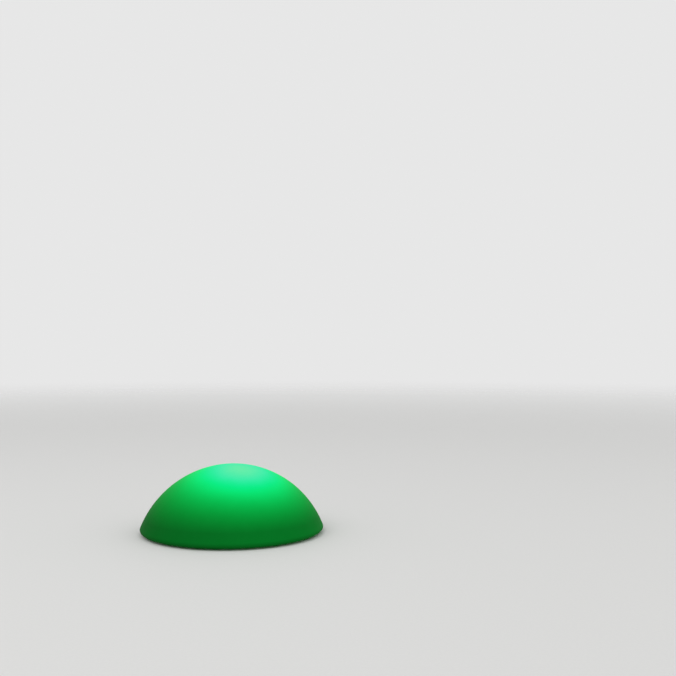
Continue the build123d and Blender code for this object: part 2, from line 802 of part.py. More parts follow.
# Microcontroller with its two rows of legs
chip_x = board_x + chip_side
chip_y = driver_y + chip_driver_distance
leg_width, leg_reach, leg_height = chip_leg_size
with BuildPart() as microcontroller:
    with BuildSketch(Plane.XY.offset(board_top + fit_gap)):
        with Locations((chip_x, chip_y)):
            Rectangle(chip_size[0], chip_size[1])
    extrude(amount=chip_size[2])
    with BuildSketch(Plane.XY.offset(board_top)):
        with Locations((chip_x, chip_y)):
            with GridLocations(chip_leg_pitch, chip_size[1] + leg_reach / 2, chip_leg_count, 2):
                Rectangle(leg_width, leg_reach)
    extrude(amount=leg_height)
save(microcontroller, "microcontroller")

# Coil of the charging circuit, a ring groove in its top
coil_x = board_right - board_screw_reach - coil_screw_gap - coil_size / 2
coil_y = board_back - coil_edge_gap - coil_size / 2
coil_groove_outer, coil_groove_inner, coil_groove_depth = coil_groove
with BuildPart() as charge_coil:
    with BuildSketch(Plane.XY.offset(board_top)):
        with Locations((coil_x, coil_y)):
            RectangleRounded(coil_size, coil_size, coil_corner)
    extrude(amount=coil_height)
    with BuildSketch(Plane.XY.offset(board_top + coil_height - coil_groove_depth)):
        with Locations((coil_x, coil_y)):
            Circle(coil_groove_outer / 2)
            Circle(coil_groove_inner / 2, mode=Mode.SUBTRACT)
    extrude(amount=coil_groove_depth, mode=Mode.SUBTRACT)
save(charge_coil, "charge_coil")

# Two capacitors beside the coil
capacitor_pitch = capacitor_diameter + capacitor_gap
capacitor_x = coil_x - coil_size / 2 - capacitor_coil_gap - capacitor_diameter - capacitor_gap / 2
capacitor_y = board_back - capacitor_edge_gap - capacitor_diameter / 2
with BuildPart() as capacitors:
    with BuildSketch(Plane.XY.offset(board_top)):
        with Locations((capacitor_x, capacitor_y)):
            with GridLocations(capacitor_pitch, 0, 2, 1):
                Circle(capacitor_diameter / 2)
    extrude(amount=capacitor_height)
    fillet(capacitors.edges().group_by(Axis.Z)[-1], capacitor_edge)
save(capacitors, "capacitors")

# Wire headers: three on the control board, one on the LED board, and the wires' plugs
ribbon_header_width = ribbon_width + 2 * header_wall
header_inset = header_depth / 2
battery_header_y = board_back - board_screw_reach - battery_header_screw_gap - header_width / 2
battery_header_at = (board_left + header_inset, battery_header_y, header_z)
socket_header_at = (board_right - header_inset, socket_y, header_z)
ribbon_header_at = (ribbon_x, board_front + header_inset, header_z)
led_edge = polar(outer_led_ring / 2, 360 / outer_led_count)[0] + led_size / 2
led_header_y = -(led_edge + led_header_gap + header_inset)
led_header_at = (ribbon_x, led_header_y, led_z + header_height / 2)
pair_header = header(header_width)
ribbon_header = header(ribbon_header_width)
with BuildPart() as board_headers:
    with Locations(battery_header_at):
        add(pair_header, rotation=(0, 0, 180))
    with Locations(socket_header_at):
        add(pair_header)
    with Locations(ribbon_header_at):
        add(ribbon_header, rotation=(0, 0, -90))
save(board_headers, "control_board_headers")

with BuildPart() as led_header:
    with Locations(led_header_at):
        add(ribbon_header, rotation=(0, 0, -90))
save(led_header, "led_board_header")

pair_plug = plug(header_width)
ribbon_plug = plug(ribbon_header_width)
with BuildPart() as wire_plugs:
    with Locations(battery_header_at):
        add(pair_plug, rotation=(0, 0, 180))
    with Locations(socket_header_at):
        add(pair_plug)
    with Locations(ribbon_header_at, led_header_at):
        add(ribbon_plug, rotation=(0, 0, -90))
save(wire_plugs, "wire_plugs")

# Latching switch under the control board, over the button
with BuildPart() as power_switch:
    with BuildSketch(Plane.XY.offset(switch_z)):
        with Locations((button_x, button_y)):
            Rectangle(switch_size, switch_size)
    extrude(amount=switch_size)
    with BuildSketch(Plane.XY.offset(switch_z)):
        with Locations((button_x, button_y)):
            Circle(plunger_diameter / 2 + fit_gap)
    extrude(amount=plunger_depth, mode=Mode.SUBTRACT)
save(power_switch, "power_switch")

# Push button: a cap with a spring well, and a stem grooved for its seal and its clip
button_bottom = flange_bottom - button_proud
button_top = button_roof - button_travel - loose_gap
seal_z = (button_roof + button_cup_top) / 2
seal_groove = stem_diameter / 2 + fit_gap - hair_gap - seal_wire
clip_z = button_cup_top + hair_gap
clip_groove = stem_diameter / 2 - clip_thickness
spring_radius = (spring_diameter - spring_wire) / 2
well_outer = spring_diameter / 2 + loose_gap
well_inner = spring_diameter / 2 - spring_wire - loose_gap
with BuildPart() as power_button:
    with BuildSketch(Plane.XY.offset(button_bottom)):
        with Locations((button_x, button_y)):
            Circle(button_diameter / 2)
    extrude(amount=button_top - button_bottom)
    fillet(power_button.faces().sort_by(Axis.Z)[0].edges(), button_edge)
    with BuildSketch(Plane.XY.offset(button_top - well_depth)) as spring_well:
        with Locations((button_x, button_y)):
            Circle(well_outer)
            Circle(well_inner, mode=Mode.SUBTRACT)
    extrude(amount=well_depth, mode=Mode.SUBTRACT)
    with BuildSketch(Plane.XY.offset(button_top)) as stem:
        with Locations((button_x, button_y)):
            Circle(stem_diameter / 2)
    extrude(amount=stem_top - button_top)
    with BuildSketch(Plane.XY.offset(seal_z - seal_wire / 2)):
        with Locations((button_x, button_y)):
            Circle(stem_diameter / 2)
            Circle(seal_groove, mode=Mode.SUBTRACT)
    extrude(amount=seal_wire, mode=Mode.SUBTRACT)
    with BuildSketch(Plane.XY.offset(clip_z)):
        with Locations((button_x, button_y)):
            Circle(stem_diameter / 2)
            Circle(clip_groove, mode=Mode.SUBTRACT)
    extrude(amount=clip_thickness, mode=Mode.SUBTRACT)
    with BuildSketch(Plane.XY.offset(button_bottom)) as on_off_mark:
        with Locations((button_x, button_y)):
            Circle(mark_diameter / 2)
            Circle(mark_diameter / 2 - mark_line, mode=Mode.SUBTRACT)
        with Locations((button_x, button_y + mark_diameter / 2)):
            Rectangle(mark_diameter / 2, mark_diameter / 2, mode=Mode.SUBTRACT)
        with Locations((button_x, button_y + mark_diameter / 3)):
            Rectangle(mark_line, mark_diameter / 2)
    extrude(amount=mark_depth, mode=Mode.SUBTRACT)
save(power_button, "power_button")

with BuildPart() as button_seal:
    with Locations((button_x, button_y, seal_z)):
        Torus(seal_groove + seal_wire / 2, seal_wire / 2)
save(button_seal, "button_seal")

with BuildPart() as button_clip:
    with BuildSketch(Plane.XY.offset(clip_z)):
        with Locations((button_x, button_y)):
            Circle(stem_diameter / 2 + clip_width)
            Circle(clip_groove, mode=Mode.SUBTRACT)
        with Locations((button_x, button_y - stem_diameter / 2 - clip_width)):
            Rectangle(stem_diameter / 2, stem_diameter + 2 * clip_width, mode=Mode.SUBTRACT)
    extrude(amount=clip_thickness)
save(button_clip, "button_clip")

plunger_end = switch_z + plunger_depth - button_travel - loose_gap
with BuildPart() as switch_plunger:
    with BuildSketch(Plane.XY.offset(stem_top)):
        with Locations((button_x, button_y)):
            Circle(plunger_diameter / 2)
    extrude(amount=plunger_end - stem_top)
save(switch_plunger, "switch_plunger")

# Return spring between the button's well and the roof of its pocket
spring_bottom = button_top - well_depth
spring_rise = button_roof - spring_bottom - spring_wire
spring_pitch = spring_rise / spring_turns
spring_start = (button_x, button_y, spring_bottom + spring_wire / 2)
with BuildPart() as button_spring:
    with BuildLine():
        coil = Helix(spring_pitch, spring_rise, spring_radius, center=spring_start)
    with BuildSketch(Plane(coil @ 0, z_dir=coil % 0)):
        Circle(spring_wire / 2)
    sweep()
save(button_spring, "button_spring")

# Charging socket: a threaded barrel with a bezel, and two solder lugs on its tail
bezel_top = socket_roof - socket_seal_thickness
bezel_face = bezel_top - bezel_thickness
barrel_top = socket_roof + barrel_length
pin_bottom = bezel_face + pin_inset
pin_top = bezel_face + socket_bore_depth + pin_root
lug_width, lug_thickness, lug_height = lug_size
with BuildPart() as socket_body:
    with BuildSketch(Plane.XY.offset(bezel_face)):
        with Locations((socket_x, socket_y)):
            Circle(bezel_diameter / 2)
    extrude(amount=bezel_thickness)
    with BuildSketch(Plane.XY.offset(bezel_top)):
        with Locations((socket_x, socket_y)):
            Circle(barrel_diameter / 2)
    extrude(amount=barrel_top - bezel_top)
    with BuildSketch(Plane.XY.offset(barrel_top)):
        with Locations((socket_x, socket_y)):
            with GridLocations(0, lead_pitch, 1, 2):
                Rectangle(lug_width, lug_thickness)
    extrude(amount=lug_height)
    with BuildSketch(Plane.XY.offset(bezel_face)):
        with Locations((socket_x, socket_y)):
            Circle(socket_bore / 2)
    extrude(amount=socket_bore_depth, mode=Mode.SUBTRACT)
    with BuildSketch(Plane.XY.offset(bezel_face)):
        with Locations((socket_x, socket_y)):
            Circle(pin_diameter / 2)
    extrude(amount=pin_top - bezel_face, mode=Mode.SUBTRACT)
save(socket_body, "charging_socket")

with BuildPart() as socket_pin:
    with BuildSketch(Plane.XY.offset(pin_bottom)):
        with Locations((socket_x, socket_y)):
            Circle(pin_diameter / 2)
    extrude(amount=pin_top - pin_bottom)
    fillet(socket_pin.edges().group_by(Axis.Z)[0], pin_diameter / 4)
save(socket_pin, "socket_pin")

with BuildPart() as socket_seal:
    with BuildSketch(Plane.XY.offset(bezel_top)):
        with Locations((socket_x, socket_y)):
            Circle(bezel_diameter / 2)
            Circle(barrel_diameter / 2 + fit_gap, mode=Mode.SUBTRACT)
    extrude(amount=socket_seal_thickness)
save(socket_seal, "socket_seal")

with BuildPart() as socket_nut:
    with BuildSketch(Plane.XY.offset(socket_cup_top)):
        with Locations((socket_x, socket_y)):
            RegularPolygon(nut_width / 2, 6, major_radius=False)
            Circle(barrel_diameter / 2 + fit_gap, mode=Mode.SUBTRACT)
    extrude(amount=nut_thickness)
save(socket_nut, "socket_nut")

# Rubber cap of the socket: a lid with a tapered plug, a pull tab and most of its strap
cap_top = flange_bottom - hair_gap
cap_bottom = cap_top - cap_sheet
cap_plug_foot = socket_pocket_diameter / 2 - loose_gap
cap_plug_top = bezel_face - cap_plug_gap
strap_end = hinge_x - hair_gap
tab_end = socket_x - cap_diameter / 2 - tab_reach
with BuildPart() as port_cap:
    with BuildSketch(Plane.XY.offset(cap_bottom)):
        with Locations((socket_x, socket_y)):
            Circle(cap_diameter / 2)
        with Locations(((tab_end + strap_end) / 2, socket_y)):
            Rectangle(strap_end - tab_end, strap_width)
    extrude(amount=cap_sheet)
    fillet(port_cap.edges().filter_by(Axis.Z).group_by(Axis.X)[0], strap_width / 3)
    with BuildSketch(Plane.XY.offset(cap_top)):
        with Locations((socket_x, socket_y)):
            Circle(cap_plug_foot)
    with BuildSketch(Plane.XY.offset(cap_plug_top)):
        with Locations((socket_x, socket_y)):
            Circle(cap_plug_foot - cap_plug_taper)
    loft()
    with BuildSketch(Plane.XY.offset(cap_bottom - tab_ridge[2])):
        with Locations((tab_end + tab_ridge_inset, socket_y)):
            Rectangle(tab_ridge[0], tab_ridge[1])
    extrude(amount=tab_ridge[2])
save(port_cap, "port_cap")

# The strap's fixed end: a pad with a barbed stem through the floor of the tub
with BuildPart() as cap_anchor:
    with BuildSketch(Plane.XY.offset(cap_bottom)):
        with Locations((anchor_x, socket_y)):
            Rectangle(anchor_length, strap_width)
    extrude(amount=cap_sheet)
    fillet(cap_anchor.edges().filter_by(Axis.Z).group_by(Axis.X)[-1], strap_width / 3)
    with BuildSketch(Plane.XY.offset(cap_top)):
        with Locations((anchor_x, socket_y)):
            Circle(anchor_stem / 2)
    extrude(amount=flange_top - cap_top)
    with BuildSketch(Plane.XY.offset(flange_top)):
        with Locations((anchor_x, socket_y)):
            Circle(anchor_bulb / 2)
    with BuildSketch(Plane.XY.offset(flange_top + anchor_bulb_height)):
        with Locations((anchor_x, socket_y)):
            Circle(anchor_tip / 2)
    loft()
save(cap_anchor, "port_cap_anchor")

# Light pipe that carries the charge light to the underside, and the light above it
light_width, light_depth, light_height = charge_light_size
pipe_top = board_z - light_height - fit_gap
with BuildPart() as light_pipe:
    with BuildSketch(Plane.XY.offset(flange_bottom - pipe_rim)):
        with Locations((pipe_x, pipe_y)):
            Circle(pipe_diameter / 2 + pipe_rim)
    extrude(amount=pipe_rim)
    fillet(light_pipe.edges().group_by(Axis.Z)[0], pipe_rim / 2)
    with BuildSketch(Plane.XY.offset(flange_bottom)):
        with Locations((pipe_x, pipe_y)):
            Circle(pipe_diameter / 2)
    extrude(amount=pipe_top - flange_bottom)
save(light_pipe, "charge_light_pipe")

with BuildPart() as charge_light:
    with BuildSketch(Plane.XY.offset(pipe_top + fit_gap)):
        with Locations((pipe_x, pipe_y)):
            RectangleRounded(light_width, light_depth, charge_light_corner)
    extrude(amount=light_height)
save(charge_light, "charge_light")

# Battery leads: out of the protection board, round in a U, and into their plug
plug_face = header_inset + plug_proud
battery_mouth = battery_header_at[0] - plug_face
leads_y = pack_y - protection_width / 2 + lead_pitch
bend_x = -pack_length / 2 - lead_bend_reach
corner_x, corner_y = lead_bend_corner
for name, side in (("battery_lead_red", 1), ("battery_lead_black", -1)):
    out = side * lead_pitch / 2
    lead = wire(
        (
            (-pack_length / 2, leads_y + out, cell_z),
            (bend_x + corner_x - out / 2, leads_y + out, cell_z),
            (bend_x - out, leads_y - corner_y + out / 2, cell_z + lead_drop),
            (bend_x - out, battery_header_y + corner_y - out / 2, header_z - lead_drop),
            (bend_x + corner_x - out / 2, battery_header_y - out, header_z),
            (battery_mouth, battery_header_y - out, header_z),
        )
    )
    with BuildPart() as battery_lead:
        add(lead)
    save(battery_lead, name)

# Leads of the charging socket: up off the lugs, over, and down to their plug
socket_mouth = socket_header_at[0] + plug_face
lug_top = barrel_top + lug_height
lead_pair = []
for side in (-1, 1):
    lead_y = socket_y + side * lead_pitch / 2
    lead_pair.append(
        wire(
            (
                (socket_x, lead_y, lug_top),
                (socket_x, lead_y, lug_top + socket_lead_rise[0]),
                (socket_x - socket_lead_reach, lead_y, lug_top + socket_lead_rise[1]),
                (socket_mouth + socket_lead_landing, lead_y, header_z),
                (socket_mouth, lead_y, header_z),
            )
        )
    )
with BuildPart() as socket_leads:
    add(lead_pair)
save(socket_leads, "socket_leads")

# LED leads: out of the control board's front, up through the plate, back to the LED board
strands = []
for strand_index in range(ribbon_count):
    strand_x = ribbon_x + (strand_index - (ribbon_count - 1) / 2) * ribbon_pitch
    strands.append(
        wire(
            (
                (strand_x, ribbon_header_at[1] - plug_face, header_z),
                (strand_x, lead_slot_y, header_z),
                (strand_x, lead_slot_y, led_header_at[2]),
                (strand_x, led_header_at[1] - plug_face, led_header_at[2]),
            )
        )
    )
with BuildPart() as led_leads:
    add(strands)
save(led_leads, "led_leads")

print("least gap between the button spring's turns", round(spring_pitch - spring_wire, 3), "mm")
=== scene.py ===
import json
from math import atan2, degrees, hypot, pi, radians, sqrt

import bpy
import numpy as np
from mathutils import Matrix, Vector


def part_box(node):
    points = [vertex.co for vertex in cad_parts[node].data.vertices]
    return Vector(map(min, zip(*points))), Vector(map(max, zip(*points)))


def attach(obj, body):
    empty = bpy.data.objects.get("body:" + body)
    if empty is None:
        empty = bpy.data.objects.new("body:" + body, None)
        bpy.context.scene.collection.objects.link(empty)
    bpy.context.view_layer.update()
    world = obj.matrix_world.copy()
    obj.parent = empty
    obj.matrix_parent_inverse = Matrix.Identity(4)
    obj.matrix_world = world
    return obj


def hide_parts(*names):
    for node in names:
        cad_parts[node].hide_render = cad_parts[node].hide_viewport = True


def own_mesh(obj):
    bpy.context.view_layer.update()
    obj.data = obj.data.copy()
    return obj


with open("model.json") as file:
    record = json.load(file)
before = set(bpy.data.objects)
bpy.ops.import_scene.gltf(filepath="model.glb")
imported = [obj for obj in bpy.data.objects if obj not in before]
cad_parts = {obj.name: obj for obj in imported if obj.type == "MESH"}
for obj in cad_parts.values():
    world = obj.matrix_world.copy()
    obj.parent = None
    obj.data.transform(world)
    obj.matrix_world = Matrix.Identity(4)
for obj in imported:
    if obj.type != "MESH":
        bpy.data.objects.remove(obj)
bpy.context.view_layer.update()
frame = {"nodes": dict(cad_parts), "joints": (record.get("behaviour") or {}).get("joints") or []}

# Camera: level and low, a little to the right of the light, and far enough back to see it
# small in the lower left of the picture.
camera_place = (0.192, -1.7445, 0.3513)
camera_lens = 51.1
camera_data = bpy.data.cameras.new("camera")
camera_data.lens = camera_lens
camera = bpy.data.objects.new("camera", camera_data)
camera.location = camera_place
camera.rotation_euler = (radians(90), 0, 0)
bpy.context.scene.collection.objects.link(camera)
bpy.context.scene.camera = camera
bpy.context.scene.view_settings.view_transform = "Standard"


# Floor: a wide sheet of pale matt studio paper. It fades into the background far from
# the light, and it is one-sided, so that the underside can be seen through it.
class Flow:
    """A number on its way through a node tree: arithmetic on it adds Math nodes."""

    def __init__(self, nodes, socket):
        self.nodes = nodes
        self.socket = socket

    def __add__(self, other):
        return self.nodes.maths("ADD", self, other)

    def __radd__(self, other):
        return self.nodes.maths("ADD", other, self)

    def __sub__(self, other):
        return self.nodes.maths("SUBTRACT", self, other)

    def __rsub__(self, other):
        return self.nodes.maths("SUBTRACT", other, self)

    def __mul__(self, other):
        return self.nodes.maths("MULTIPLY", self, other)

    def __rmul__(self, other):
        return self.nodes.maths("MULTIPLY", other, self)

    def __truediv__(self, other):
        return self.nodes.maths("DIVIDE", self, other)

    def __rtruediv__(self, other):
        return self.nodes.maths("DIVIDE", other, self)

    def __pow__(self, other):
        return self.nodes.maths("POWER", self, other)


class Nodes:
    """A tree of shader nodes under way, of a material or of the studio's room."""

    def __init__(self, tree):
        self.tree = tree

    def feed(self, node, sockets):
        """Links or sets a node's sockets; a colour of three numbers gets its alpha."""
        for name, value in sockets.items():
            socket = node.inputs[name]
            if isinstance(value, Flow):
                self.tree.links.new(value.socket, socket)
            elif isinstance(value, tuple) and socket.type == "RGBA":
                socket.default_value = (*value, 1)
            else:
                socket.default_value = value

    def node(self, kind, settings=None, sockets=None, output=0):
        """Adds a node: its settings first, then its sockets. Gives one of its outputs."""
        made = self.tree.nodes.new("ShaderNode" + kind)
        for name, value in (settings or {}).items():
            setattr(made, name, value)
        self.feed(made, sockets or {})
        return Flow(self, made.outputs[output])

    def maths(self, operation, *values):
        """A Math node on up to three numbers."""
        return self.node("Math", {"operation": operation}, dict(enumerate(values)))

    def mix(self, share, first, second):
        """One colour into another, by a share from 0 to 1."""
        settings = {"data_type": "RGBA", "clamp_factor": True}
        return self.node("Mix", settings, {0: share, 6: first, 7: second}, 2)


class Finish(Nodes):
    """A material under way: its shader, and the place of each surface point in metres."""

    def __init__(self, name, constants):
        self.material = bpy.data.materials.new(name)
        self.material.use_nodes = True
        super().__init__(self.material.node_tree)
        self.shader = self.tree.nodes["Principled BSDF"]
        self.feed(self.shader, constants)
        self.place = self.node("TexCoord", output="Object")
        self.x, self.y, self.z = (self.node("SeparateXYZ", {}, {0: self.place}, axis) for axis in "XYZ")

    def step(self, value, low, high):
        """0 below low, 1 above high, and a smooth rise between them."""
        sockets = {"Value": value, "From Min": low, "From Max": high}
        return self.node("MapRange", {"interpolation_type": "SMOOTHSTEP"}, sockets)

    def past(self, value, limit, softness):
        """0 where a value is under its limit, 1 above it, with a soft edge."""
        return self.step(value, limit - softness, limit + softness)

    def edge(self, value, limit, softness):
        """1 where a value is under its limit, 0 above it, with a soft edge."""
        return 1 - self.past(value, limit, softness)

    def wave(self, value, rate):
        """A sine wave from -1 to 1 along a value, rate radians for each unit of it."""
        return self.maths("SINE", value * rate)

    def noise(self, scale, detail=2.0, place=None):
        """Fractal noise between 0 and 1, with scale cells to the metre."""
        sockets = {"Vector": place or self.place, "Scale": scale, "Detail": detail}
        return self.node("TexNoise", {}, sockets)

    def stretched(self, along, across, upright):
        """The surface point, stretched for a pattern that runs one way."""
        return self.node("Mapping", {}, {"Vector": self.place, "Scale": (along, across, upright)})

    def around(self, count, ring, start=0.0):
        """Where a point lies from the nearest of the places evenly spaced on a circle about
        the axis, the first at an angle in degrees: outwards from it, and to its side."""
        turn = 2 * pi / count
        angle = self.maths("ARCTAN2", self.y, self.x) + (turn / 2 - radians(start))
        local = self.maths("FLOORED_MODULO", angle, turn) - turn / 2
        reach = self.length(self.x, self.y)
        return reach * self.maths("COSINE", local) - ring, reach * self.maths("SINE", local)

    def length(self, *sides):
        """The length of a line from its two or three sides."""
        return sum(side * side for side in sides) ** 0.5

    def relief(self, height, depth):
        """Feeds a height to the shader's normal; one unit of it stands depth metres high."""
        normal = self.node("Bump", {}, {"Strength": 1.0, "Distance": depth, "Height": height}, "Normal")
        self.feed(self.shader, {"Normal": normal})

    def done(self, sockets):
        """Feeds the shader, and gives the finished material."""
        self.feed(self.shader, sockets)
        return self.material


floor_radius = 14.0
floor_white = (0.78, 0.78, 0.77)
floor_cream = (0.74, 0.74, 0.73)
floor_fade = (1.6, 6.5)
paper = Finish("studio_paper", {"Roughness": 0.75, "Specular IOR Level": 0.25})
paper_fibre = paper.noise(260, 4.0)
paper.relief(paper_fibre, 0.00006)
paper_material = paper.done({"Base Color": paper.mix(paper_fibre, floor_white, floor_cream)})
floor_distance = paper.length(paper.x, paper.y)
from_below = paper.node("NewGeometry", output="Backfacing")
hidden = paper.maths("MAXIMUM", paper.step(floor_distance, *floor_fade), from_below)
clear = paper.node("BsdfTransparent")
paper_shader = Flow(paper, paper.shader.outputs[0])
paper_mix = paper.node("MixShader", {}, {0: hidden, 1: paper_shader, 2: clear})
paper.feed(paper.tree.nodes["Material Output"], {"Surface": paper_mix})
floor_corners = [(-floor_radius, -floor_radius, 0), (floor_radius, -floor_radius, 0)]
floor_corners += [(floor_radius, floor_radius, 0), (-floor_radius, floor_radius, 0)]
floor_mesh = bpy.data.meshes.new("floor")
floor_mesh.from_pydata(floor_corners, [], [(0, 1, 2, 3)])
floor_mesh.materials.append(paper_material)
floor = bpy.data.objects.new("floor", floor_mesh)
bpy.context.scene.collection.objects.link(floor)

# Studio light: a pale room all round, a broad soft lamp over the left shoulder and a
# weaker one on the right. The room looks a little paler than the light that it sheds.
room_shade = (0.74, 0.74, 0.74)
room_seen = (0.80, 0.80, 0.80)
world = bpy.data.worlds.new("studio")
world.use_nodes = True
bpy.context.scene.world = world
room = Nodes(world.node_tree)
looked_at = 0
for ray in ("Is Camera Ray", "Is Glossy Ray", "Is Transmission Ray"):
    looked_at = room.maths("MAXIMUM", looked_at, room.node("LightPath", output=ray))
room.feed(room.tree.nodes["Background"], {"Color": room.mix(looked_at, room_shade, room_seen)})


def lamp(name, place, size, power):
    """A square soft lamp that faces the middle of the light."""
    data = bpy.data.lights.new(name, "AREA")
    data.shape = "SQUARE"
    data.size = size
    data.energy = power
    made = bpy.data.objects.new(name, data)
    made.location = place
    x, y, z = place
    made.rotation_euler = (0, atan2(hypot(x, y), z), atan2(y, x))
    bpy.context.scene.collection.objects.link(made)


lamp("key_lamp", place=(-1.7, -1.3, 2.6), size=2.4, power=22)
lamp("fill_lamp", place=(2.2, -0.8, 2.0), size=2.0, power=6)


# Dome shell: one hollow rotational moulding in milky polyethylene, 3 mm thick, satin
# and faintly uneven outside. The light unit's screws go into brass inserts that are
# moulded into bosses round its opening. Its green comes from the LEDs inside. Its base
# colour is a painted shade: a near-black green in place of the polyethylene's milky white.
edge_radius = 0.006
shell_wall = 0.003
lip_radius = 0.002
flange_land = 0.019
recess_side_gap = 0.003
shell_low, shell_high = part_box("dome_shell")
shell_radius = shell_high.x
shell_top = shell_high.z
foot_gap = shell_low.z
flange_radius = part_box("light_unit_tub")[1].x
recess_radius = flange_radius + recess_side_gap
recess_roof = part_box("flange_gasket")[1].z
opening_radius = flange_radius - flange_land
edge_centre = shell_radius - edge_radius
edge_height = foot_gap + edge_radius
cap_rise = shell_top - edge_height
cap_radius = (edge_centre**2 + cap_rise**2 - edge_radius**2) / (2 * (cap_rise - edge_radius))
cap_centre = shell_top - cap_radius
tangent_angle = degrees(atan2(edge_height - cap_centre, edge_centre))


def arc(centre, radius, start, end, count):
    """Points of a circle's arc, in evenly spaced angles from start to end in degrees."""
    angles = np.radians(np.linspace(start, end, count + 1))
    return np.column_stack((centre[0] + radius * np.cos(angles), centre[1] + radius * np.sin(angles)))


def run(start, end, count):
    """Points evenly spaced on a straight line, its two ends left to what it joins."""
    share = np.linspace(0, 1, count + 2)[1:-1, None]
    return np.array(start) * (1 - share) + np.array(end) * share


def piece_of(name, points, faces, material, smooth=True):
    """A mesh object at the origin from arrays of points and faces, in one material."""
    mesh = bpy.data.meshes.new(name)
    mesh.from_pydata(points, [], faces)
    mesh.materials.append(material)
    mesh.polygons.foreach_set("use_smooth", np.full(len(mesh.polygons), smooth))
    mesh.update()
    made = bpy.data.objects.new(name, mesh)
    bpy.context.scene.collection.objects.link(made)
    return made


def turned(profile, sides):
    """Carries a profile round the axis: the point (r, z) goes to (r cos a, r sin a, z) for
    each angle a. The profile's first and last points lie on the axis, and become poles."""
    angles = np.linspace(0, 2 * pi, sides, endpoint=False)
    radius, height = profile[1:-1].T
    rings = np.stack(
        (
            radius[:, None] * np.cos(angles),
            radius[:, None] * np.sin(angles),
            np.broadcast_to(height[:, None], (len(radius), sides)),
        ),
        axis=-1,
    ).reshape(-1, 3)
    poles = [(0, 0, profile[0][1]), (0, 0, profile[-1][1])]
    first_pole, last_pole = len(rings), len(rings) + 1
    here = np.arange(sides)
    after = (here + 1) % sides
    start = (np.arange(len(radius) - 1) * sides)[:, None]
    quads = np.stack((start + here, start + sides + here, start + sides + after, start + after), axis=-1)
    last_ring = (len(radius) - 1) * sides
    top_fan = np.column_stack((here, after, np.full(sides, first_pole)))
    bottom_fan = np.column_stack((last_ring + after, last_ring + here, np.full(sides, last_pole)))
    faces = quads.reshape(-1, 4).tolist() + top_fan.tolist() + bottom_fan.tolist()
    return np.vstack((rings, poles)), faces


def rods(places, radius, low, high, sides=48):
    """Upright round rods at the places, as one mesh's points and faces: each rod is two
    rings of points and two end caps."""
    angles = np.linspace(0, 2 * pi, sides, endpoint=False)
    ring = np.column_stack((radius * np.cos(angles), radius * np.sin(angles)))
    points, faces = [], []
    for x, y in places:
        first = 2 * sides * (len(faces) // (sides + 2))
        for height in (low, high):
            points.append(np.column_stack((ring + (x, y), np.full(sides, height))))
        lower = first + np.arange(sides)
        upper = lower + sides
        walls = np.column_stack((lower, np.roll(lower, -1), np.roll(upper, -1), upper))
        faces += walls.tolist() + [lower[::-1].tolist(), upper.tolist()]
    return np.vstack(points), faces


def joined(piece, operation, points, faces):
    """Adds rods to a piece or cuts them from it, and keeps the result as its mesh."""
    tool = piece_of("tool", points, faces, piece.data.materials[0], smooth=False)
    change = piece.modifiers.new("change", "BOOLEAN")
    change.operation = operation
    change.solver = "EXACT"
    change.object = tool
    bpy.context.view_layer.update()
    shape = piece.evaluated_get(bpy.context.evaluated_depsgraph_get())
    piece.data = bpy.data.meshes.new_from_object(shape)
    piece.modifiers.clear()
    bpy.data.objects.remove(tool)


def ring_places(radius, count, start=0.0):
    """Places evenly spaced on a circle about the axis, the first at an angle in degrees."""
    angles = np.radians(start + np.arange(count) * 360 / count)
    return np.column_stack((radius * np.cos(angles), radius * np.sin(angles)))


# The light at a point is a beam and a spill. The beam comes from the glow's centre, and
# falls with the square of its length and with the cosines of its slant to the upright and
# to the shell. The LEDs stand round the axis, but the glow's centre is put a little to the
# front right of it: a painted light, which brightens the shell's front and right. The spill
# is weaker near the ground, and weaker on the left: a painted shade on the shell's left.
# Blue, and then red, join the green where the light is strong.
painted_glow_x, painted_glow_y, glow_level = 0.012, -0.021, 0.0273
beam_light, spill_light = 1.34, 0.102
# Painted shade: the spill's slant darkens the shell's left side.
painted_left_shade, painted_shade_limit = 0.28, 0.05
shade_low, shade_high, least_spill = 0.002, 0.014, 0.35
wall_variation = 0.08
red_start, red_rise = 0.85, 0.28
green_limit, green_ease = 0.80, 0.25
blue_share, blue_rise = 0.06, 0.215
blue_limit, blue_ease = 0.39, 0.12
milk = Finish(
    "lit_polyethylene",
    {"Specular IOR Level": 0.012, "Specular Tint": (0.12, 1.0, 0.40), "Emission Strength": 1.0},
)
glow_side, glow_front = milk.x - painted_glow_x, milk.y - painted_glow_y
glow_rise = milk.maths("MAXIMUM", milk.z - glow_level, 0)
glow_distance = milk.length(glow_side, glow_front, glow_rise)
upright = glow_rise / glow_distance
squareness = milk.x * glow_side + milk.y * glow_front + (milk.z - cap_centre) * glow_rise
squareness = squareness / (glow_distance * cap_radius)
nearness = (shell_top - glow_level) / glow_distance
beam = upright * squareness * nearness * nearness
unevenness = 1 + wall_variation * (milk.noise(38, 3.0) - 0.5)
near_ground = least_spill + (1 - least_spill) * milk.step(milk.z, shade_low, shade_high)
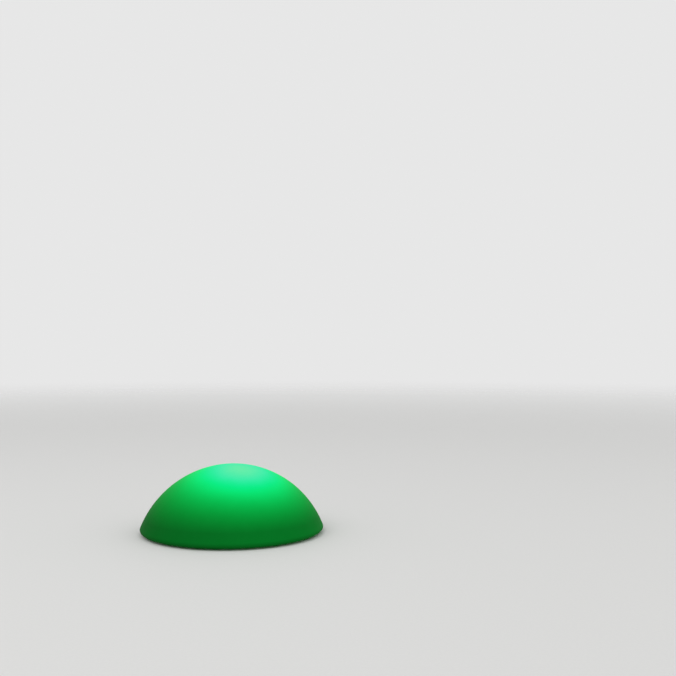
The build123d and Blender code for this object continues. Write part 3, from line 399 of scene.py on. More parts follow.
# Painted shade: the slant takes spill away from the shell's left side.
spill = spill_light + painted_left_shade * milk.maths("SMOOTH_MIN", milk.x, painted_shade_limit, painted_shade_limit)
light = (spill * near_ground + beam_light * beam) * unevenness
overlit = milk.maths("MAXIMUM", light - red_start, 0)
lit_red = red_rise * overlit * overlit
lit_green = milk.maths("SMOOTH_MIN", light, green_limit, green_ease)
lit_blue = blue_share * light + blue_rise * light * light
lit_blue = milk.maths("SMOOTH_MIN", lit_blue, blue_limit, blue_ease)
lit_colour = milk.node("CombineColor", {}, {0: lit_red, 1: lit_green, 2: lit_blue})
peel = milk.noise(620, 2.0)
milk.relief(peel + 1.6 * milk.noise(95, 2.0), 0.000035)
milk_material = milk.done(
    {
        # Painted shade: a near-black green base colour, where the polyethylene is milky white.
        "Base Color": milk.mix(milk.noise(60, 3.0), (0.002, 0.048, 0.007), (0.003, 0.058, 0.010)),
        "Roughness": 0.48 + 0.10 * milk.noise(180, 3.0),
        "Emission Color": lit_colour,
    }
)

# The wall's outline, from the top down outside, in through the recess, and up inside. The
# last number of each stretch is its count of steps.
corner = recess_radius - lip_radius, recess_roof - lip_radius
shell_profile = np.vstack(
    (
        arc((0, cap_centre), cap_radius, 90, tangent_angle, 120),
        arc((edge_centre, edge_height), edge_radius, tangent_angle, -90, 18)[1:],
        run((edge_centre, foot_gap), (recess_radius + lip_radius, foot_gap), 9),
        arc((recess_radius + lip_radius, foot_gap + lip_radius), lip_radius, 270, 180, 6),
        arc(corner, lip_radius, 0, 90, 6),
        run((corner[0], recess_roof), (opening_radius, recess_roof), 5),
        [(opening_radius, recess_roof), (opening_radius, recess_roof + shell_wall)],
        run((opening_radius, recess_roof + shell_wall), (corner[0], recess_roof + shell_wall), 5),
        arc(corner, lip_radius + shell_wall, 90, 0, 8),
        [(recess_radius + shell_wall, foot_gap + shell_wall)],
        run((recess_radius + shell_wall, foot_gap + shell_wall), (edge_centre, foot_gap + shell_wall), 9),
        arc((edge_centre, edge_height), edge_radius - shell_wall, -90, tangent_angle, 10),
        arc((0, cap_centre), cap_radius - shell_wall, tangent_angle, 90, 60)[1:],
    )
)
shell_sides = 256
shell_points, shell_faces = turned(shell_profile, shell_sides)
shell_piece = piece_of("shell", shell_points, shell_faces, milk_material)

# Bosses for the inserts stand up from the recess's roof, and the feet's pockets are sunk
# into the underside.
insert_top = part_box("brass_inserts")[1]
insert_count = 6
screw_ring = (flange_radius + opening_radius) / 2
insert_radius = insert_top.x - screw_ring
boss_wall = 0.0024
boss_low = recess_roof + shell_wall / 2
foot_count, foot_start = 4, 45
foot_radius = 0.010
foot_clearance = 0.0003
foot_ring = (recess_radius + edge_centre) / 2
pocket_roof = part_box("rubber_feet")[1].z
insert_places = ring_places(screw_ring, insert_count)
foot_places = ring_places(foot_ring, foot_count, foot_start)
bosses = rods(insert_places, insert_radius + boss_wall, boss_low, insert_top.z + boss_wall)
bores = rods(insert_places, insert_radius, recess_roof - shell_wall, insert_top.z)
pockets = rods(foot_places, foot_radius + foot_clearance, foot_gap - shell_wall, pocket_roof)
joined(shell_piece, "UNION", *bosses)
joined(shell_piece, "DIFFERENCE", *bores)
joined(shell_piece, "DIFFERENCE", *pockets)
sharp_angle = radians(32)
shell_piece.data.set_sharp_from_angle(angle=sharp_angle)
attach(shell_piece, "housing")
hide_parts("dome_shell")


# Brass inserts: turned from bar, knurled, and moulded into the shell's bosses. The flange
# screws run in them.
def dress(material, *names):
    """Puts a material on pieces that keep their own mesh."""
    for name in names:
        frame["nodes"][name].material_slots[0].material = material


knurl_teeth, knurl_depth = 30, 0.0002
brass = Finish("turned_brass", {"Metallic": 1.0})
insert_out, insert_side = brass.around(insert_count, screw_ring)
knurl = brass.wave(brass.maths("ARCTAN2", insert_side, insert_out), knurl_teeth)
insert_reach = brass.length(insert_out, insert_side)
outside = brass.past(insert_reach, insert_radius - knurl_depth, knurl_depth / 2)
brass.relief(outside * knurl, 0.00012)
tarnish = brass.noise(420, 3.0)
dress(
    brass.done(
        {
            "Base Color": brass.mix(tarnish, (0.82, 0.62, 0.29), (0.66, 0.46, 0.19)),
            "Roughness": 0.20 + 0.20 * tarnish,
        }
    ),
    "brass_inserts",
)

# Rubber feet: black discs, glued into shallow pockets. They are moulded a little rough,
# with fine rings, and are greyer where they rub on the ground.
foot_rubber = Finish("foot_rubber", {"Specular IOR Level": 0.35})
rub = foot_rubber.edge(foot_rubber.z, 0.0006, 0.0005) * foot_rubber.noise(900, 4.0)
foot_reach = foot_rubber.length(*foot_rubber.around(foot_count, foot_ring, foot_start))
foot_rings = foot_rubber.wave(foot_reach, 4200)
foot_rubber.relief(foot_rubber.noise(1500, 3.0) + 0.8 * foot_rings, 0.00004)
dress(
    foot_rubber.done(
        {
            "Base Color": foot_rubber.mix(rub, (0.050, 0.050, 0.050), (0.150, 0.148, 0.140)),
            "Roughness": 0.74 + 0.20 * foot_rubber.noise(700, 3.0),
        }
    ),
    "rubber_feet",
)


# Light unit's tub: one injection moulding in light grey ABS, with bosses and pockets in
# its floor and a fine spark-eroded texture. Its flange is screwed to the shell's inserts.
def moulded(name, bright, dull, grain, grain_depth, rough):
    """Moulded plastic: a fine spark-eroded grain, slow flow marks, and slightly uneven
    colour and sheen."""
    plastic = Finish(name, {"Specular IOR Level": 0.45})
    flow_marks = plastic.noise(30, 3.0)
    plastic.relief(plastic.noise(grain, 3.0) + 0.5 * flow_marks, grain_depth)
    return plastic.done(
        {
            "Base Color": plastic.mix(flow_marks, bright, dull),
            "Roughness": rough + 0.14 * plastic.noise(240, 3.0),
        }
    )


tub_material = moulded("grey_abs", (0.76, 0.77, 0.76), (0.69, 0.70, 0.69), 1500, 0.00004, 0.46)
dress(tub_material, "light_unit_tub")

# Seals: the flange gasket, the cover's gasket and the socket's washer are cut from grey
# silicone sheet, soft and faintly dusty.
silicone = Finish(
    "grey_silicone",
    {"Specular IOR Level": 0.4, "Subsurface Weight": 0.08, "Subsurface Scale": 0.002},
)
lint = silicone.step(silicone.noise(1100, 5.0), 0.60, 0.72)
silicone.relief(silicone.noise(520, 3.0), 0.00003)
silicone_grey = silicone.mix(silicone.noise(45, 3.0), (0.60, 0.61, 0.60), (0.53, 0.54, 0.53))
dress(
    silicone.done(
        {
            "Base Color": silicone.mix(0.35 * lint, silicone_grey, (0.80, 0.80, 0.78)),
            "Roughness": 0.50 + 0.25 * lint,
        }
    ),
    "flange_gasket",
    "cover_gasket",
    "socket_seal",
)

# Battery cells: two nickel-plated steel cans side by side, drawn and polished round. They
# lie in the tub's cradle, inside their shrink film.
cell_low, cell_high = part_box("battery_cells")
cell_metal = Finish("cell_can", {"Metallic": 1.0})
draw_marks = cell_metal.noise(60, 4.0, cell_metal.stretched(40, 1, 1))
cell_metal.relief(draw_marks, 0.00001)
dress(
    cell_metal.done(
        {
            "Base Color": cell_metal.mix(draw_marks, (0.66, 0.66, 0.67), (0.56, 0.56, 0.58)),
            "Roughness": 0.22 + 0.18 * draw_marks,
        }
    ),
    "battery_cells",
)


# Circuit boards: woven glass under green lacquer. Copper tracks show through it as
# slightly raised, lighter lines, and the cut edges are bare laminate.
def lacquered_board(name, lacquer, over_track, pitch):
    """Lacquered laminate: tracks on a grid, broken up at random, and the weave beneath."""
    board = Finish(name, {"Specular IOR Level": 0.6})
    up = board.node("SeparateXYZ", {}, {0: board.node("NewGeometry", output="Normal")}, "Z")
    face = board.step(board.maths("ABSOLUTE", up), 0.4, 0.6)
    across = board.maths("PINGPONG", board.y, pitch)
    along = board.maths("PINGPONG", board.x, pitch)
    patches = board.noise(140, 0.0)
    half_track, track_edge = 0.30 * pitch, 0.04 * pitch
    rows = board.edge(across, half_track, track_edge) * board.step(patches, 0.52, 0.53)
    columns = board.edge(along, half_track, track_edge) * board.edge(patches, 0.42, 0.01)
    tracks = face * board.maths("MAXIMUM", rows, columns)
    weave = board.wave(board.x, 5200) * board.wave(board.y, 5200)
    board.relief(tracks + 0.08 * weave, 0.00003)
    lacquered = board.mix(tracks, lacquer, over_track)
    laminate = board.mix(board.noise(900, 2.0), (0.52, 0.47, 0.28), (0.40, 0.36, 0.20))
    return board.done(
        {
            "Base Color": board.mix(face, laminate, lacquered),
            "Roughness": 0.70 - face * 0.42 + 0.10 * board.noise(300, 2.0),
        }
    )


green_board = lacquered_board("green_board", (0.012, 0.150, 0.060), (0.030, 0.260, 0.115), 0.0009)
dress(green_board, "control_board", "battery_protection_board")

# Battery pack's film: blue shrink film round both cells, with a welded seam along one
# side and fine wrinkles where it has shrunk over the ends.
wrap_low, wrap_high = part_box("battery_wrap")
film = Finish("blue_film", {"Coat Roughness": 0.10, "Specular IOR Level": 0.5})
from_end = wrap_high.x - film.maths("ABSOLUTE", film.x)
shrunk = film.edge(from_end, 0.005, 0.004)
wrinkles = film.noise(300, 3.0, film.stretched(0.12, 1, 1)) * shrunk
seam_height = (wrap_low.z + wrap_high.z) / 2
seam = film.edge(film.maths("ABSOLUTE", film.z - seam_height), 0.0006, 0.0002)
film.relief(wrinkles + 0.6 * seam + 0.10 * film.noise(160, 2.0), 0.00025)
dress(
    film.done(
        {
            "Base Color": film.mix(0.5 * shrunk + 0.4 * seam, (0.045, 0.205, 0.480), (0.085, 0.290, 0.600)),
            "Roughness": 0.26 + 0.20 * film.noise(200, 3.0),
            "Coat Weight": 0.5 - 0.3 * shrunk,
        }
    ),
    "battery_wrap",
)

# Strip that joins the cells: pure nickel, rolled bright, and welded to each cap at four
# spots, which are darker and a little sunk.
strip_low, strip_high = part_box("cell_strip")
cell_reach = (cell_high.y - cell_low.y) / 4
pack_middle = (cell_low.y + cell_high.y) / 2
weld_offset, weld_radius = 0.0012, 0.0005
nickel = Finish("nickel_strip", {"Metallic": 1.0})
weld_y = nickel.maths("ABSOLUTE", nickel.maths("ABSOLUTE", nickel.y - pack_middle) - cell_reach)
weld_z = nickel.maths("ABSOLUTE", nickel.z - (strip_low.z + strip_high.z) / 2)
weld = nickel.edge(nickel.length(weld_y - weld_offset, weld_z - weld_offset), weld_radius, 0.0001)
rolled = nickel.noise(80, 3.0, nickel.stretched(1, 1, 14))
nickel.relief(0.3 * rolled - weld, 0.00006)
dress(
    nickel.done(
        {
            "Base Color": nickel.mix(weld, (0.75, 0.72, 0.67), (0.34, 0.31, 0.27)),
            "Roughness": 0.24 + 0.16 * rolled + 0.20 * weld,
        }
    ),
    "cell_strip",
)

# Foam strip: closed-cell polyethylene foam, cut from sheet, so its cells show. It lies
# pressed between the battery pack and the bracket.
foam = Finish("foam_sheet", {"Specular IOR Level": 0.2})
cells = foam.node("TexVoronoi", {}, {"Vector": foam.place, "Scale": 1700})
foam.relief(cells, 0.00020)
dress(
    foam.done(
        {
            "Base Color": foam.mix(cells, (0.120, 0.120, 0.130), (0.240, 0.240, 0.250)),
            "Roughness": 0.86 + 0.10 * foam.noise(900, 2.0),
        }
    ),
    "battery_foam",
)

# Battery bracket: a black ABS strap, moulded in one piece, with an ear at each end that is
# screwed down on a boss of the tub.
black_abs = moulded("black_abs", (0.030, 0.030, 0.033), (0.050, 0.050, 0.054), 1300, 0.00005, 0.50)
dress(black_abs, "battery_bracket")

# Microcontroller: black moulded epoxy with a fine matt skin and a round dimple at one
# end, soldered to the control board by its tinned copper legs.
chip_low, chip_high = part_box("microcontroller")
chip_middle = (chip_low + chip_high) / 2
chip_half = 0.0020
dimple_inset, dimple_radius = 0.0011, 0.0005
dimple_x = chip_low.x + dimple_inset
dimple_y = chip_middle.y - chip_half + dimple_inset
crisp = 0.00001
epoxy = Finish("black_epoxy", {"Specular IOR Level": 0.45})
leg = epoxy.past(epoxy.maths("ABSOLUTE", epoxy.y - chip_middle.y), chip_half, crisp)
dimple_reach = epoxy.length(epoxy.x - dimple_x, epoxy.y - dimple_y)
dimple = epoxy.edge(dimple_reach, dimple_radius, 0.0001)
epoxy.relief(0.5 * epoxy.noise(2400, 2.0) - 2.0 * dimple, 0.00003)
epoxy_black = epoxy.mix(epoxy.noise(500, 3.0), (0.020, 0.020, 0.021), (0.038, 0.037, 0.036))
dress(
    epoxy.done(
        {
            "Base Color": epoxy.mix(leg, epoxy_black, (0.62, 0.62, 0.60)),
            "Metallic": leg,
            "Roughness": 0.52 - 0.24 * leg + 0.10 * epoxy.noise(900, 2.0),
        }
    ),
    "microcontroller",
)

# LED driver transistors: the same black epoxy, each with a tinned tab along its back
# edge and its foot, which is soldered flat on the control board.
driver_low, driver_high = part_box("led_drivers")
tab_depth, tab_height, foot_height = 0.0009, 0.0013, 0.0005
driver = Finish("driver_epoxy", {"Specular IOR Level": 0.45})
at_back = driver.past(driver.y, driver_high.y - tab_depth, crisp)
at_back = at_back * driver.edge(driver.z, driver_low.z + tab_height, crisp)
at_foot = driver.edge(driver.z, driver_low.z + foot_height, crisp)
tab = driver.maths("MAXIMUM", at_back, at_foot)
driver.relief(0.5 * driver.noise(2400, 2.0), 0.00003)
driver_black = driver.mix(driver.noise(500, 3.0), (0.022, 0.022, 0.023), (0.040, 0.039, 0.038))
dress(
    driver.done(
        {
            "Base Color": driver.mix(tab, driver_black, (0.62, 0.62, 0.60)),
            "Metallic": tab,
            "Roughness": 0.50 - 0.22 * tab + 0.10 * driver.noise(900, 2.0),
        }
    ),
    "led_drivers",
)

# Charging coil: copper wire wound in the groove of a pressed ferrite block, which is
# soldered flat on the control board.
coil_low, coil_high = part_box("charge_coil")
coil_middle = (coil_low + coil_high) / 2
groove_inner, groove_outer, groove_floor = 0.0019, 0.0025, 0.0003
ferrite = Finish("coil_ferrite", {"Specular IOR Level": 0.5})
coil_reach = ferrite.length(ferrite.x - coil_middle.x, ferrite.y - coil_middle.y)
in_groove = ferrite.past(coil_reach, groove_inner, crisp)
in_groove = in_groove * ferrite.edge(coil_reach, groove_outer, crisp)
copper = in_groove * ferrite.edge(ferrite.z, coil_high.z - groove_floor, 0.0001)
windings = ferrite.wave(coil_reach, 42000)
ferrite.relief(copper * windings + 0.6 * ferrite.noise(1600, 3.0), 0.00004)
ferrite_grey = ferrite.mix(ferrite.noise(700, 3.0), (0.070, 0.068, 0.066), (0.120, 0.116, 0.112))
dress(
    ferrite.done(
        {
            "Base Color": ferrite.mix(copper, ferrite_grey, (0.72, 0.30, 0.12)),
            "Metallic": copper,
            "Roughness": 0.60 - 0.32 * copper + 0.10 * ferrite.noise(900, 2.0),
        }
    ),
    "charge_coil",
)

# Capacitors: drawn aluminium cans on black bases, soldered to the control board. A dark
# half-moon on the top marks the negative side.
can_low, can_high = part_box("capacitors")
can_middle = (can_low + can_high) / 2
base_height, moon_side = 0.0011, 0.00095
can = Finish("capacitor_can", {})
can_base = can.edge(can.z, can_low.z + base_height, 2 * crisp)
on_top = can.past(can.z, can_high.z - 0.0001, 0.00005)
moon = on_top * can.past(can.y - can_middle.y, moon_side, 0.00005)
dark = can.maths("MAXIMUM", can_base, moon)
can_rings = can.noise(60, 3.0, can.stretched(1, 1, 40))
can.relief(can_rings - 0.8 * moon, 0.00002)
can_metal = can.mix(can_rings, (0.74, 0.75, 0.77), (0.62, 0.63, 0.66))
dress(
    can.done(
        {
            "Base Color": can.mix(dark, can_metal, (0.02, 0.02, 0.02)),
            "Metallic": 1 - dark,
            "Roughness": 0.22 + 0.20 * can_rings + 0.22 * dark,
        }
    ),
    "capacitors",
)

# Wire headers and their plugs: moulded in natural nylon, slightly waxy and translucent.
# The headers are soldered to the boards, and the leads' plugs are pushed into them.
nylon = Finish(
    "natural_nylon",
    {"Specular IOR Level": 0.5, "Subsurface Weight": 0.15, "Subsurface Scale": 0.001},
)
nylon.relief(nylon.noise(900, 3.0), 0.00002)
dress(
    nylon.done(
        {
            "Base Color": nylon.mix(nylon.noise(160, 3.0), (0.87, 0.85, 0.78), (0.79, 0.76, 0.67)),
            "Roughness": 0.38 + 0.16 * nylon.noise(500, 3.0),
        }
    ),
    "control_board_headers",
    "led_board_header",
    "wire_plugs",
)

# Power switch: a black nylon body under a thin steel frame, which shows as its upper
# third. It is soldered under the control board, over the button.
switch_low, switch_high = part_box("power_switch")
frame_share = 0.36
frame_edge = switch_high.z - frame_share * (switch_high.z - switch_low.z)
switch = Finish("switch_body", {"Specular IOR Level": 0.5})
steel_frame = switch.past(switch.z, frame_edge - crisp, crisp)
switch_grain = switch.noise(1100, 3.0)
switch.relief(0.6 * switch_grain + 0.8 * steel_frame, 0.00003)
dress(
    switch.done(
        {
            "Base Color": switch.mix(steel_frame, (0.020, 0.020, 0.022), (0.60, 0.60, 0.61)),
            "Metallic": steel_frame,
            "Roughness": 0.36 - 0.06 * steel_frame + 0.14 * switch_grain,
        }
    ),
    "power_switch",
)

# Power button: moulded in dark grey ABS. Its sunken on-off mark is filled with pale paint,
# and fingers have polished the rim of its face.
button_low, button_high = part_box("power_button")
button_middle = (button_low + button_high) / 2
button_radius = (button_high.x - button_low.x) / 2
mark_depth, mark_reach = 0.0003, 0.0042
rim_width, rim_fade = 0.0012, 0.0008
button = Finish("button_abs", {"Specular IOR Level": 0.5})
button_reach = button.length(button.x - button_middle.x, button.y - button_middle.y)
in_mark = button.past(button.z, button_low.z + 0.8 * mark_depth, 0.1 * mark_depth)
in_mark = in_mark * button.edge(button.z, button_low.z + 1.5 * mark_depth, 2 * crisp)
paint = in_mark * button.edge(button_reach, mark_reach, 0.0001)
polished = button.edge(button.maths("ABSOLUTE", button_reach - button_radius), rim_width, rim_fade)
button.relief(button.noise(1400, 3.0) * (1 - 0.7 * polished), 0.00005)
button_grey = button.mix(button.noise(80, 3.0), (0.070, 0.074, 0.080), (0.095, 0.100, 0.106))
dress(
    button.done(
        {
            "Base Color": button.mix(paint, button_grey, (0.78, 0.80, 0.80)),
            "Roughness": 0.50 - 0.20 * polished + 0.12 * button.noise(300, 3.0),
        }
    ),
    "power_button",
)

# Button's O-ring: moulded in black nitrile rubber, stretched into the stem's groove and
# wiped with clear grease.
o_ring = Finish("nitrile_rubber", {"Specular IOR Level": 0.5, "Coat Roughness": 0.15})
grease = o_ring.step(o_ring.noise(500, 2.0), 0.40, 0.62)
o_ring.relief(o_ring.noise(1800, 2.0), 0.00002)
dress(
    o_ring.done(
        {
            "Base Color": o_ring.mix(grease, (0.030, 0.030, 0.030), (0.050, 0.050, 0.048)),
            "Roughness": 0.60 - 0.25 * grease,
            "Coat Weight": 0.8 * grease,
        }
    ),
    "button_seal",
)


# Return spring and clip: hard-drawn stainless steel with fine die lines. The spring is
# wound from wire and stands in the button's well, and the clip is stamped from strip and
# snapped on the stem.
def bright_steel(name, pale, dark, scale, along, depth, rough):
    """Bright metal with fine marks drawn out one way, in its colour, sheen and relief."""
    steel = Finish(name, {"Metallic": 1.0})
    marks = steel.noise(scale, 4.0, steel.stretched(*along))
    steel.relief(marks, depth)
    stain = steel.step(steel.noise(150, 3.0), 0.45, 0.75)
    return steel.done(
        {
            "Base Color": steel.mix(0.3 * stain + 0.7 * marks, pale, dark),
            "Roughness": rough + 0.18 * marks,
        }
    )


def sprung(radius, wire, low, high, turns, closing, steps=56, sides=16):
    """A spring's wire. For a share t from 0 to 1 its middle line lies at (radius cos a,
    radius sin a, low + (high - low) (t - closing sin(2 pi t) / (2 pi))), where a is 2 pi turns t,
    so its turns close up towards both ends. A circle of the wire's radius is carried along it."""
    share = np.linspace(0, 1, turns * steps + 1)
    turn = 2 * pi * turns * share
    out = np.column_stack((np.cos(turn), np.sin(turn), np.zeros_like(turn)))
    middle = radius * out
    middle[:, 2] = low + (high - low) * (share - closing * np.sin(2 * pi * share) / (2 * pi))
    along = np.gradient(middle, axis=0)
    along = along / np.linalg.norm(along, axis=1, keepdims=True)
    up = np.cross(along, out)
    round_wire = np.linspace(0, 2 * pi, sides, endpoint=False)[None, :, None]
    ring = np.cos(round_wire) * out[:, None] + np.sin(round_wire) * up[:, None]
    points = middle[:, None] + wire * ring
    here = np.arange(sides)
    after = (here + 1) % sides
    start = (np.arange(len(share) - 1) * sides)[:, None]
    walls = np.stack((start + here, start + after, start + sides + after, start + sides + here), axis=-1)
    last = (len(share) - 1) * sides
    ends = [here[::-1].tolist(), (last + here).tolist()]
    return points.reshape(-1, 3), walls.reshape(-1, 4).tolist() + ends


spring_steel = bright_steel(
    "spring_steel", (0.68, 0.68, 0.70), (0.50, 0.50, 0.51), 900, (1, 1, 3), 0.00001, 0.20
)
dress(spring_steel, "button_clip")
spring_low, spring_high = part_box("button_spring")
spring_middle = (spring_low + spring_high) / 2
wire_radius = 0.00025
spring_radius = (spring_high.x - spring_low.x) / 2 - wire_radius
spring_turns, spring_closing = 4, 0.45
button_travel = next(joint["range_m"][1] for joint in frame["joints"] if joint["name"] == "power_button")
spring_points, spring_faces = sprung(
    spring_radius,
    wire_radius,
    spring_low.z + wire_radius,
    spring_high.z - wire_radius,
    spring_turns,
    spring_closing,
)
spring_points = spring_points + (spring_middle.x, spring_middle.y, 0)
spring_piece = piece_of("return_spring", spring_points, spring_faces, spring_steel)
spring_piece.data.set_sharp_from_angle(angle=sharp_angle)
spring_kept = 1 - button_travel / (spring_high.z - spring_low.z)
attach(spring_piece, "housing")
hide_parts("button_spring")
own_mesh(spring_piece)

# Switch plunger: white acetal, turned and slippery. It stands on the button's stem and
# slides up into the switch.
acetal = Finish(
    "white_acetal",
    {"Specular IOR Level": 0.5, "Subsurface Weight": 0.10, "Subsurface Scale": 0.001},
)
lathe_marks = acetal.noise(120, 3.0, acetal.stretched(1, 1, 30))
acetal.relief(lathe_marks, 0.00001)
dress(
    acetal.done(
        {
            "Base Color": acetal.mix(lathe_marks, (0.88, 0.88, 0.86), (0.80, 0.80, 0.77)),
            "Roughness": 0.26 + 0.16 * lathe_marks,
        }
    ),
    "switch_plunger",
)

# Charging socket: a black nylon barrel, moulded with its thread, with two tinned lugs on
# its tail. It is pushed up through the tub's floor, and its nut holds it there.
socket_low, socket_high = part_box("charging_socket")
socket_middle = (socket_low + socket_high) / 2
lug_height, thread_root = 0.003, 0.0037
socket_nylon = Finish("socket_nylon", {"Specular IOR Level": 0.5})
lug = socket_nylon.past(socket_nylon.z, socket_high.z - lug_height - crisp, crisp)
barrel_reach = socket_nylon.length(socket_nylon.x - socket_middle.x, socket_nylon.y - socket_middle.y)
on_barrel = socket_nylon.step(barrel_reach, thread_root - 0.0001, thread_root) * (1 - lug)
thread = socket_nylon.wave(socket_nylon.z, 9000) * on_barrel
socket_nylon.relief(0.7 * thread + 0.4 * socket_nylon.noise(900, 3.0), 0.00005)
dress(
    socket_nylon.done(
        {
            "Base Color": socket_nylon.mix(lug, (0.022, 0.022, 0.024), (0.64, 0.64, 0.62)),
            "Metallic": lug,
            "Roughness": 0.34 - 0.08 * lug + 0.14 * socket_nylon.noise(500, 3.0),
        }
    ),
    "charging_socket",
)

# Socket's pin and nut: turned from brass and plated with bright nickel. The pin is moulded
# into the socket, and the nut is screwed down on its barrel.
plated = bright_steel("nickel_plate", (0.76, 0.75, 0.72), (0.58, 0.56, 0.50), 260, (1, 1, 12), 0.00001, 0.14)
dress(plated, "socket_pin", "socket_nut")

# Socket's cap and its strap: dark grey silicone rubber, moulded in one piece, matt, with
# lint and finger dust on it. The strap's barbed stem is pulled through the tub's floor.
cap_rubber = Finish("cap_rubber", {"Specular IOR Level": 0.35})
dust = cap_rubber.step(cap_rubber.noise(700, 5.0), 0.56, 0.76)
cap_rubber.relief(cap_rubber.noise(1500, 3.0), 0.00005)
cap_grey = cap_rubber.mix(cap_rubber.noise(90, 3.0), (0.085, 0.085, 0.090), (0.110, 0.110, 0.116))
dress(
    cap_rubber.done(
        {
            "Base Color": cap_rubber.mix(0.30 * dust, cap_grey, (0.40, 0.39, 0.37)),
            "Roughness": 0.66 + 0.22 * dust,
        }
    ),
    "port_cap",
    "port_cap_anchor",
)

# Charge light's pipe: a clear acrylic rod with a rim, pushed up into the tub's floor. It
# is polished where it shows, and its side is ground matt above.
polished_to, ground_from = 0.0085, 0.0090
pipe = Finish("clear_acrylic", {"IOR": 1.49, "Transmission Weight": 0.75})
ground_side = pipe.step(pipe.z, polished_to, ground_from)
pipe.relief(ground_side * pipe.noise(1600, 3.0), 0.00003)
dress(
    pipe.done(
        {
            "Base Color": pipe.mix(pipe.noise(300, 3.0), (0.88, 0.92, 0.92), (0.82, 0.87, 0.87)),
            "Roughness": 0.05 + 0.40 * ground_side + 0.05 * pipe.noise(600, 3.0),
        }
    ),
    "charge_light_pipe",
)

# Charge light: a white moulded package with a clear lens window, soldered to the control
# board's underside, over the light pipe.
light_low, light_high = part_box("charge_light")
light_middle = (light_low + light_high) / 2
lens_radius, lens_depth = 0.0010, 0.0001
package = Finish("charge_light_package", {"Specular IOR Level": 0.5})
window_reach = package.length(package.x - light_middle.x, package.y - light_middle.y)
window = package.edge(package.z, light_low.z + lens_depth, 0.00005)
window = window * package.edge(window_reach, lens_radius, 0.00005)
package.relief(package.noise(900, 2.0) - 2.0 * window, 0.00003)
dress(
    package.done(
        {
            "Base Color": package.mix(window, (0.90, 0.89, 0.85), (0.85, 0.80, 0.52)),
            "Roughness": 0.42 - 0.30 * window + 0.10 * package.noise(500, 2.0),
        }
    ),
    "charge_light",
)

# Heat plate: 2 mm aluminium sheet, brushed one way, then deburred. It is screwed down on
# four posts of the tub.
aluminium = bright_steel(
    "brushed_aluminium", (0.82, 0.83, 0.84), (0.70, 0.71, 0.73), 70, (1, 26, 26), 0.00002, 0.26
)
dress(aluminium, "heat_plate")

# Thermal pad: soft blue-grey filled silicone, cut from sheet and pressed thin between the
# heat plate and the LED board.
pad = Finish("thermal_pad", {"Specular IOR Level": 0.35})
filler = pad.noise(1200, 4.0)
pad.relief(filler, 0.00005)
dress(
    pad.done(
        {
            "Base Color": pad.mix(filler, (0.56, 0.63, 0.71), (0.46, 0.53, 0.61)),
            "Roughness": 0.70 + 0.20 * pad.noise(400, 3.0),
        }
    ),
    "thermal_pad",
)

# LED board: aluminium-backed, under white lacquer, and screwed to the heat plate. Two
# ring tracks feed each ring of LEDs, and show as faintly raised bands.
outer_led_ring, inner_led_ring = 0.030, 0.014
track_half, track_offset = 0.0005, 0.0014
white_board = Finish("white_board", {"Specular IOR Level": 0.6})
board_reach = white_board.length(white_board.x, white_board.y)
bands = 0
for ring in (outer_led_ring, inner_led_ring):
    beside = white_board.maths("ABSOLUTE", white_board.maths("ABSOLUTE", board_reach - ring) - track_offset)
    bands = bands + white_board.edge(beside, track_half, 0.00005)
white_up = white_board.node("NewGeometry", output="Normal")
white_face = white_board.step(white_board.node("SeparateXYZ", {}, {0: white_up}, "Z"), 0.4, 0.6)
bands = bands * white_face
white_board.relief(bands + 0.15 * white_board.noise(900, 2.0), 0.00004)
white_lacquer = white_board.mix(bands, (0.90, 0.90, 0.87), (0.80, 0.81, 0.78))
dress(
    white_board.done(
        {
            "Base Color": white_board.mix(white_face, (0.66, 0.62, 0.48), white_lacquer),
            "Roughness": 0.30 + 0.12 * white_board.noise(300, 3.0),
        }
    ),
    "led_board",
)

# LEDs: white packages in two rings, soldered to their board. Under each clear window lie
# four dies, and the green one is lit.
led_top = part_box("colour_leds")[1].z
outer_led_count, inner_led_count = 12, 6
window_radius, die_offset, die_half = 0.0020, 0.0007, 0.00035
between_rings = (outer_led_ring + inner_led_ring) / 2
lit = Finish("lit_leds", {"Specular IOR Level": 0.5, "Emission Strength": 4.0})
outer_out, outer_side = lit.around(outer_led_count, outer_led_ring)
inner_out, inner_side = lit.around(inner_led_count, inner_led_ring)
is_outer = lit.past(lit.length(lit.x, lit.y), between_rings, 0.0001)
led_out = is_outer * outer_out + (1 - is_outer) * inner_out
led_side = is_outer * outer_side + (1 - is_outer) * inner_side
led_window = lit.edge(lit.length(led_out, led_side), window_radius, 0.00005)
led_window = led_window * lit.past(lit.z, led_top - 0.00045, 0.00005)
die_out = lit.maths("ABSOLUTE", lit.maths("ABSOLUTE", led_out) - die_offset)
die_side = lit.maths("ABSOLUTE", lit.maths("ABSOLUTE", led_side) - die_offset)
dies = led_window * lit.edge(lit.maths("MAXIMUM", die_out, die_side), die_half, 0.00003)
lit_die = dies * lit.step(led_out, 0, 0.0001) * lit.step(led_side, 0, 0.0001)
lit.relief(0.2 * lit.noise(900, 2.0) - led_window, 0.00005)
gel = lit.mix(led_window, (0.92, 0.91, 0.86), (0.78, 0.80, 0.60))
glow = lit.mix(led_window, (0.0, 0.0, 0.0), (0.01, 0.16, 0.05))
dress(
    lit.done(
        {
            "Base Color": lit.mix(dies, gel, (0.16, 0.18, 0.14)),
            "Roughness": 0.44 - 0.30 * led_window + 0.10 * lit.noise(600, 2.0),
            "Emission Color": lit.mix(lit_die, glow, (0.10, 1.00, 0.42)),
        }
    ),
    "colour_leds",
)

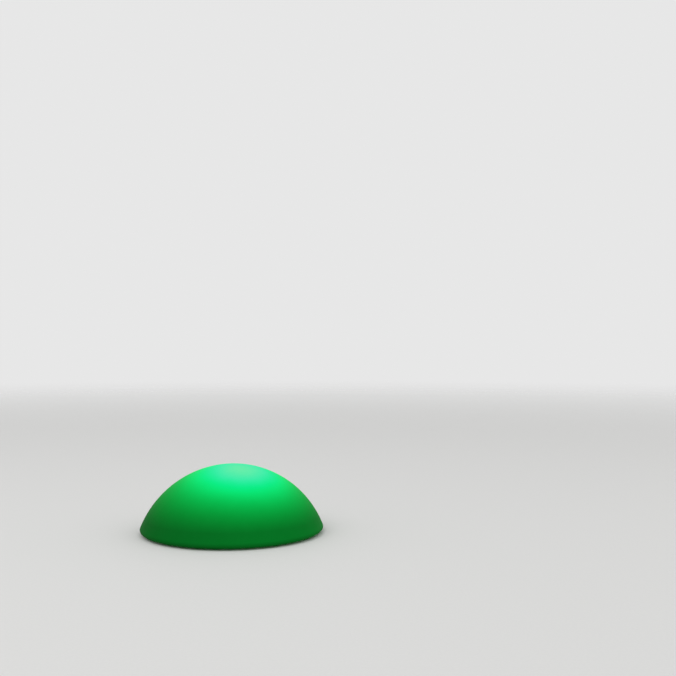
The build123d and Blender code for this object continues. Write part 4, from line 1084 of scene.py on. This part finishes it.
# Remote control's receiver: dark resin, clear to infrared alone, moulded with a round lens
# and soldered at the middle of the LED board.
resin = Finish("receiver_resin", {"Specular IOR Level": 0.6, "Coat Roughness": 0.05})
swirl = resin.noise(500, 3.0)
resin.relief(swirl, 0.00001)
dress(
    resin.done(
        {
            "Base Color": resin.mix(swirl, (0.020, 0.012, 0.020), (0.045, 0.022, 0.035)),
            "Roughness": 0.08 + 0.10 * swirl,
            "Coat Weight": 0.4 + 0.3 * swirl,
        }
    ),
    "remote_receiver",
)

# LED cover: opal polycarbonate, moulded, frosted inside, and screwed down on its gasket.
# Each LED makes a soft bright spot in it, and the spots run together in its raised part.
cover_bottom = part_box("led_cover")[0].z
cover_flange = 0.0025
spot_width = 0.0075
opal = Finish("frosted_cover", {"Specular IOR Level": 0.5, "Emission Strength": 1.0})
spots = 0
for count, ring in ((outer_led_count, outer_led_ring), (inner_led_count, inner_led_ring)):
    spot_reach = opal.length(*opal.around(count, ring)) / spot_width
    spots = spots + opal.maths("EXPONENT", 0 - spot_reach * spot_reach)
dome_part = opal.step(opal.z, cover_bottom + cover_flange, cover_bottom + 2 * cover_flange)
opal_light = opal.maths("MINIMUM", (0.25 + 0.75 * spots) * (0.10 + 0.90 * dome_part), 1)
opal.relief(opal.noise(1100, 3.0), 0.00003)
dress(
    opal.done(
        {
            "Base Color": opal.mix(opal.noise(60, 3.0), (0.54, 0.60, 0.55), (0.49, 0.56, 0.51)),
            "Roughness": 0.48 + 0.14 * opal.noise(300, 3.0),
            "Emission Color": opal.mix(opal_light, (0.0, 0.01, 0.004), (0.02, 0.50, 0.19)),
        }
    ),
    "led_cover",
)


# Leads: stranded copper in soft plastic insulation, which is extruded over it, so faint
# streaks show. They end in plugs, and the socket's pair is soldered to its lugs.
def insulation(name, clean, worn):
    """Insulation of one colour, with extrusion streaks, handling marks and a soft sheen."""
    cover = Finish(name, {"Specular IOR Level": 0.45})
    streaks = cover.noise(900, 3.0)
    handled = cover.step(cover.noise(160, 3.0), 0.45, 0.70)
    cover.relief(streaks, 0.00002)
    return cover.done(
        {
            "Base Color": cover.mix(0.6 * handled + 0.4 * streaks, clean, worn),
            "Roughness": 0.36 + 0.16 * streaks,
        }
    )


dress(insulation("red_insulation", (0.62, 0.040, 0.030), (0.48, 0.030, 0.025)), "battery_lead_red")
black_insulation = insulation("black_insulation", (0.030, 0.030, 0.032), (0.055, 0.055, 0.055))
dress(black_insulation, "battery_lead_black", "socket_leads")
dress(insulation("grey_insulation", (0.42, 0.43, 0.45), (0.34, 0.35, 0.37)), "led_leads")


# Screws: stainless steel, cold-headed, with rolled threads. Turning rings run round the
# heads of those that stand in a circle, and the rest carry fine handling marks.
def ringed_steel(name, count, ring, start):
    """Screw steel with rings about the axis of each screw on a circle of screws."""
    steel = Finish(name, {"Metallic": 1.0})
    out, side = steel.around(count, ring, start)
    rings = steel.wave(steel.length(out, side), 12000)
    marks = steel.noise(700, 3.0)
    steel.relief(0.5 * rings + 0.5 * marks, 0.000012)
    return steel.done(
        {
            "Base Color": steel.mix(marks, (0.73, 0.73, 0.75), (0.58, 0.58, 0.59)),
            "Roughness": 0.22 + 0.10 * rings + 0.14 * marks,
        }
    )


cover_screw_count, led_screw_count = 4, 4
cover_head_radius, led_head_radius = 0.0030, 0.0028
cover_screw_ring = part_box("cover_screws")[1].x - cover_head_radius
led_screw_ring = hypot(*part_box("led_board_screws")[1].xy) - led_head_radius * sqrt(2)
dress(ringed_steel("flange_screw_steel", insert_count, screw_ring, 0), "flange_screws")
dress(ringed_steel("cover_screw_steel", cover_screw_count, cover_screw_ring, 0), "cover_screws")
dress(ringed_steel("led_screw_steel", led_screw_count, led_screw_ring, 45), "led_board_screws")
loose_steel = bright_steel(
    "screw_steel", (0.73, 0.73, 0.75), (0.58, 0.58, 0.59), 800, (1, 1, 1), 0.00001, 0.24
)
dress(loose_steel, "heat_plate_screws", "bracket_screws", "control_board_screws")
